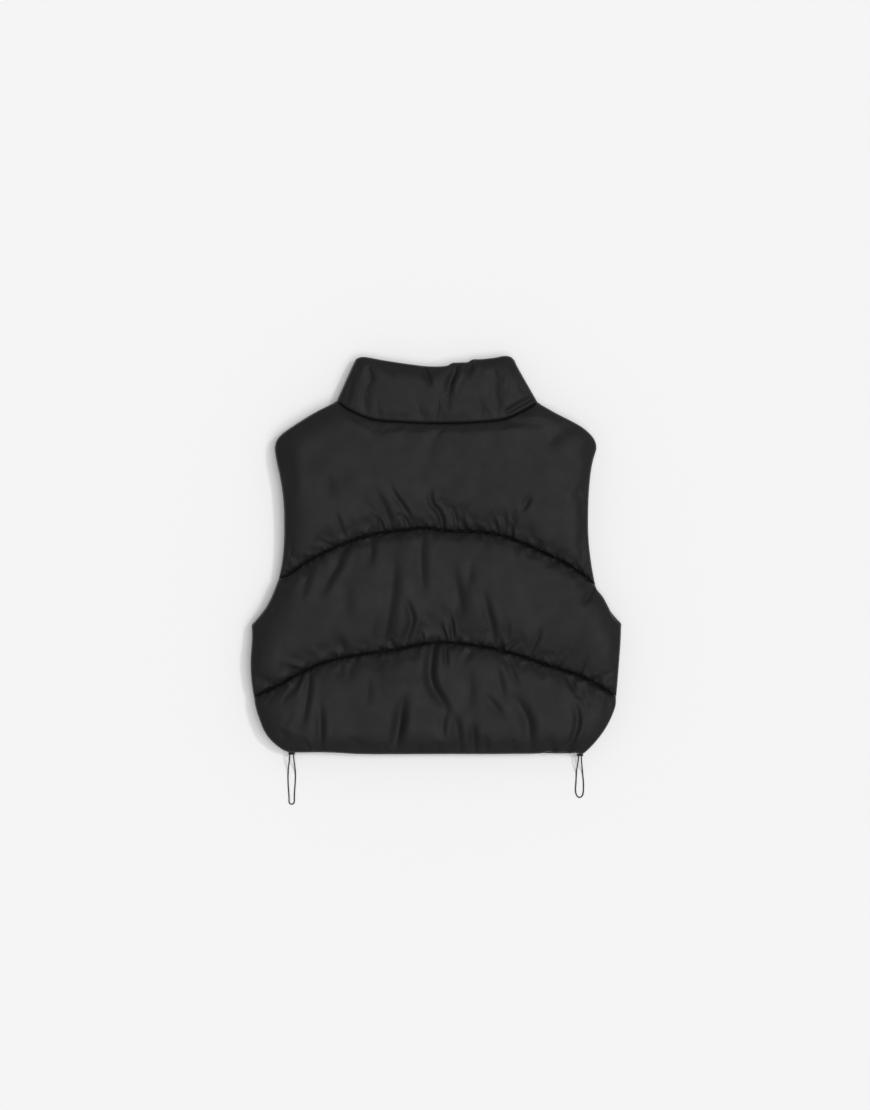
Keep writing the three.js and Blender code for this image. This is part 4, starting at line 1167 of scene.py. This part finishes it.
def sew_all():
    stitches = []
    for name, level in (("one", "middle"), ("two", "lower")):
        stitches.append(sew_top_of(f"back_stitching_{name}", back_edges[level], BACK_LOFT, BACK_LEVEL, 1))
        for side in ("left", "right"):
            edges = front_edges[side, level]
            stitches.append(sew_top_of(f"front_stitching_{side}_{name}", edges, FRONT_LOFT, FRONT_LEVEL, -1))
    return stitches


thread_pieces = sew_all()

# %% [markdown]
# ## The shell cloth
# The shell is a thin matt black nylon. From a step away it looks plain, but it has a fine weave, small
# crinkles from being packed, and a soft sheen where the light grazes it. An image could carry these, but
# a procedural material stays sharp at any distance. The weave is two sets of ribs that cross, the crinkles
# are noise, and all of them only tilt the surface through a bump. The colour varies a little, because
# cloth is never dyed and worn quite evenly.

# %% Helpers for materials
def new_material(name, colour, roughness):
    """A material with its shader and its object coordinates, ready for more nodes"""
    material = bpy.data.materials.new(name)
    material.use_nodes = True
    tree = material.node_tree
    shader = tree.nodes["Principled BSDF"]
    shader.inputs["Base Color"].default_value = (*colour, 1)
    shader.inputs["Roughness"].default_value = roughness
    place = tree.nodes.new("ShaderNodeTexCoord").outputs["Object"]
    return material, tree, shader, place


def noise(tree, place, size, detail=3.0, roughness=0.5):
    """Noise whose largest spots are about this many metres across"""
    node = tree.nodes.new("ShaderNodeTexNoise")
    node.inputs["Scale"].default_value = 1 / size
    node.inputs["Detail"].default_value = detail
    node.inputs["Roughness"].default_value = roughness
    tree.links.new(place, node.inputs["Vector"])
    return node.outputs["Fac"]


def ribs(tree, place, direction, pitch):
    """Even ribs across one direction, this many metres apart"""
    node = tree.nodes.new("ShaderNodeTexWave")
    node.bands_direction = direction
    node.inputs["Scale"].default_value = 2 * math.pi / (20 * pitch)
    tree.links.new(place, node.inputs["Vector"])
    return node.outputs["Fac"]


def varied(tree, factor, low, high):
    """A value that runs from low to high as the factor runs from 0.3 to 0.7"""
    node = tree.nodes.new("ShaderNodeMapRange")
    node.inputs["From Min"].default_value = 0.3
    node.inputs["From Max"].default_value = 0.7
    node.inputs["To Min"].default_value = low
    node.inputs["To Max"].default_value = high
    tree.links.new(factor, node.inputs["Value"])
    return node.outputs["Result"]


def blended(tree, factor, first, second):
    """A colour between two colours"""
    node = tree.nodes.new("ShaderNodeMix")
    node.data_type = "RGBA"
    node.inputs["A"].default_value = (*first, 1)
    node.inputs["B"].default_value = (*second, 1)
    tree.links.new(factor, node.inputs["Factor"])
    return node.outputs["Result"]


def bumped(tree, height, depth, strength, under=None):
    """A bump of this depth in metres, laid over another one"""
    node = tree.nodes.new("ShaderNodeBump")
    node.inputs["Distance"].default_value = depth
    node.inputs["Strength"].default_value = strength
    tree.links.new(height, node.inputs["Height"])
    if under is not None:
        tree.links.new(under, node.inputs["Normal"])
    return node.outputs["Normal"]


def sum_of(tree, first, second):
    node = tree.nodes.new("ShaderNodeMath")
    node.operation = "ADD"
    tree.links.new(first, node.inputs[0])
    tree.links.new(second, node.inputs[1])
    return node.outputs[0]


# %% The shell cloth
SHELL_DARK = (0.0132, 0.0132, 0.0140)
SHELL_LIGHT = (0.0154, 0.0153, 0.0162)
WEAVE_PITCH = 0.0004


def shell_cloth():
    material, tree, shader, place = new_material("shell_cloth", SHELL_DARK, 0.6)
    shade = varied(tree, noise(tree, place, 0.05, 5.0), 0.0, 1.0)
    tree.links.new(blended(tree, shade, SHELL_DARK, SHELL_LIGHT), shader.inputs["Base Color"])
    tree.links.new(varied(tree, noise(tree, place, 0.02), 0.52, 0.60), shader.inputs["Roughness"])
    shader.inputs["Specular IOR Level"].default_value = 0.13
    crinkle = bumped(tree, noise(tree, place, 0.012, 4.0, 0.6), 0.0002, 0.4)
    grain = bumped(tree, noise(tree, place, 0.0025, 2.0), 0.00006, 0.4, crinkle)
    weave = sum_of(tree, ribs(tree, place, "X", WEAVE_PITCH), ribs(tree, place, "Y", WEAVE_PITCH))
    tree.links.new(bumped(tree, weave, 0.00002, 0.35, grain), shader.inputs["Normal"])
    return material


SHELL_PIECES = [*back_pieces, *front_pieces, collar_piece, *outlet_pieces]


def finish_with(material, pieces):
    for piece in pieces:
        piece.data.materials.clear()
        piece.data.materials.append(material)
    print(material.name, "on", len(pieces), "pieces")


finish_with(shell_cloth(), SHELL_PIECES)

# %% [markdown]
# ## Cord, tape, thread and zip metal
# The elastic cord has a braided cover, whose strands cross at a slant all round it. The tape is woven in
# close ribs across its width. The thread is twisted, so it gets a finer slanting rib. The zip's metal is
# painted in satin black, and the paint has worn a little thin in patches. The teeth are moulded plastic,
# which is smoother and has no such wear.

# %% The remaining finishes
CORD_BLACK = (0.0085, 0.0085, 0.0092)
TAPE_BLACK = (0.0110, 0.0110, 0.0120)
PAINT_BLACK = (0.0180, 0.0180, 0.0195)
WORN_PAINT = (0.0480, 0.0470, 0.0460)
PLASTIC_BLACK = (0.0120, 0.0120, 0.0130)


def woven_finish(name, colour, directions, pitch, depth, roughness):
    """A plain textile finish: ribs in the given directions over a slight change of colour"""
    material, tree, shader, place = new_material(name, colour, roughness)
    lighter = tuple(1.5 * part for part in colour)
    shade = varied(tree, noise(tree, place, 0.004, 4.0), 0.0, 1.0)
    tree.links.new(blended(tree, shade, colour, lighter), shader.inputs["Base Color"])
    shader.inputs["Sheen Weight"].default_value = 0.1
    heights = [ribs(tree, place, direction, pitch) for direction in directions]
    height = heights[0] if len(heights) == 1 else sum_of(tree, *heights)
    tree.links.new(bumped(tree, height, depth, 0.6), shader.inputs["Normal"])
    return material


def satin_metal():
    material, tree, shader, place = new_material("satin_black_metal", PAINT_BLACK, 0.38)
    wear = varied(tree, noise(tree, place, 0.0018, 5.0, 0.65), -1.6, 1.0)
    tree.links.new(blended(tree, wear, PAINT_BLACK, WORN_PAINT), shader.inputs["Base Color"])
    tree.links.new(varied(tree, noise(tree, place, 0.001), 0.32, 0.46), shader.inputs["Roughness"])
    shader.inputs["Metallic"].default_value = 0.6
    tree.links.new(bumped(tree, noise(tree, place, 0.0006), 0.00003, 0.4), shader.inputs["Normal"])
    return material


def moulded_plastic():
    material, tree, shader, place = new_material("moulded_plastic", PLASTIC_BLACK, 0.42)
    tree.links.new(varied(tree, noise(tree, place, 0.003), 0.36, 0.5), shader.inputs["Roughness"])
    tree.links.new(bumped(tree, noise(tree, place, 0.0008), 0.00002, 0.3), shader.inputs["Normal"])
    return material


finish_with(woven_finish("elastic_cord", CORD_BLACK, ("DIAGONAL", "Z"), 0.0005, 0.0001, 0.7), [cord_left, cord_right])
finish_with(woven_finish("zip_tape_weave", TAPE_BLACK, ("Y",), 0.0005, 0.00006, 0.8), tape_pieces)
finish_with(woven_finish("quilting_thread", TAPE_BLACK, ("DIAGONAL",), 0.0003, 0.00005, 0.65), thread_pieces)
finish_with(moulded_plastic(), teeth_pieces)
finish_with(satin_metal(), metal_pieces)

# %% [markdown]
# ## Table and light
# The table is plain and nearly white. One large soft lamp stands high on the right and a little beyond the
# collar, so the shadow falls to the left and slightly towards the hem, close to the vest. A sun lamp with a
# wide angle is chosen, because it lights the whole table evenly. The pale surroundings fill the shadows.
# A second sun lamp with a small angle stands lower on the right and gives the shadow a clearer edge.

# %% Lay the table and light it
TABLE_COLOUR = (0.93, 0.93, 0.93)
TABLE_SIZE = 30
LAMP_STRENGTH = 0.42
LAMP_ANGLE = 4
LAMP_TILT_RIGHT = 27
LAMP_TILT_BEYOND = 9
BROAD_STRENGTH = 1.91
BROAD_ANGLE = 46
BROAD_TILT_RIGHT = 12
BROAD_TILT_BEYOND = -3
SURROUNDINGS_STRENGTH = 0.27


def lay_table():
    half = TABLE_SIZE / 2
    corners = np.array([(-half, -half, 0), (half, -half, 0), (half, half, 0), (-half, half, 0)])
    table = add_mesh("table_top", corners, [[0, 1, 2, 3]])
    material, tree, shader, place = new_material("pale_table", TABLE_COLOUR, 0.9)
    tree.links.new(varied(tree, noise(tree, place, 0.3), 0.86, 0.94), shader.inputs["Roughness"])
    shader.inputs["Specular IOR Level"].default_value = 0.1
    table.data.materials.append(material)


def add_lamp(name, strength, angle, right, beyond):
    """A lamp as far away as the sun, tilted to the right and away from the hem, in degrees"""
    data = bpy.data.lights.new(name, "SUN")
    data.energy = strength
    data.angle = math.radians(angle)
    lamp = bpy.data.objects.new(name, data)
    lamp.rotation_euler = (math.radians(-beyond), math.radians(right), 0)
    bpy.context.scene.collection.objects.link(lamp)


def light_it():
    add_lamp("clear_lamp", LAMP_STRENGTH, LAMP_ANGLE, LAMP_TILT_RIGHT, LAMP_TILT_BEYOND)
    add_lamp("broad_lamp", BROAD_STRENGTH, BROAD_ANGLE, BROAD_TILT_RIGHT, BROAD_TILT_BEYOND)
    world = bpy.data.worlds.new("pale_surroundings")
    world.use_nodes = True
    world.node_tree.nodes["Background"].inputs["Color"].default_value = (1, 1, 1, 1)
    world.node_tree.nodes["Background"].inputs["Strength"].default_value = SURROUNDINGS_STRENGTH
    bpy.context.scene.world = world
    bpy.context.scene.view_settings.view_transform = "Standard"


lay_table()
light_it()
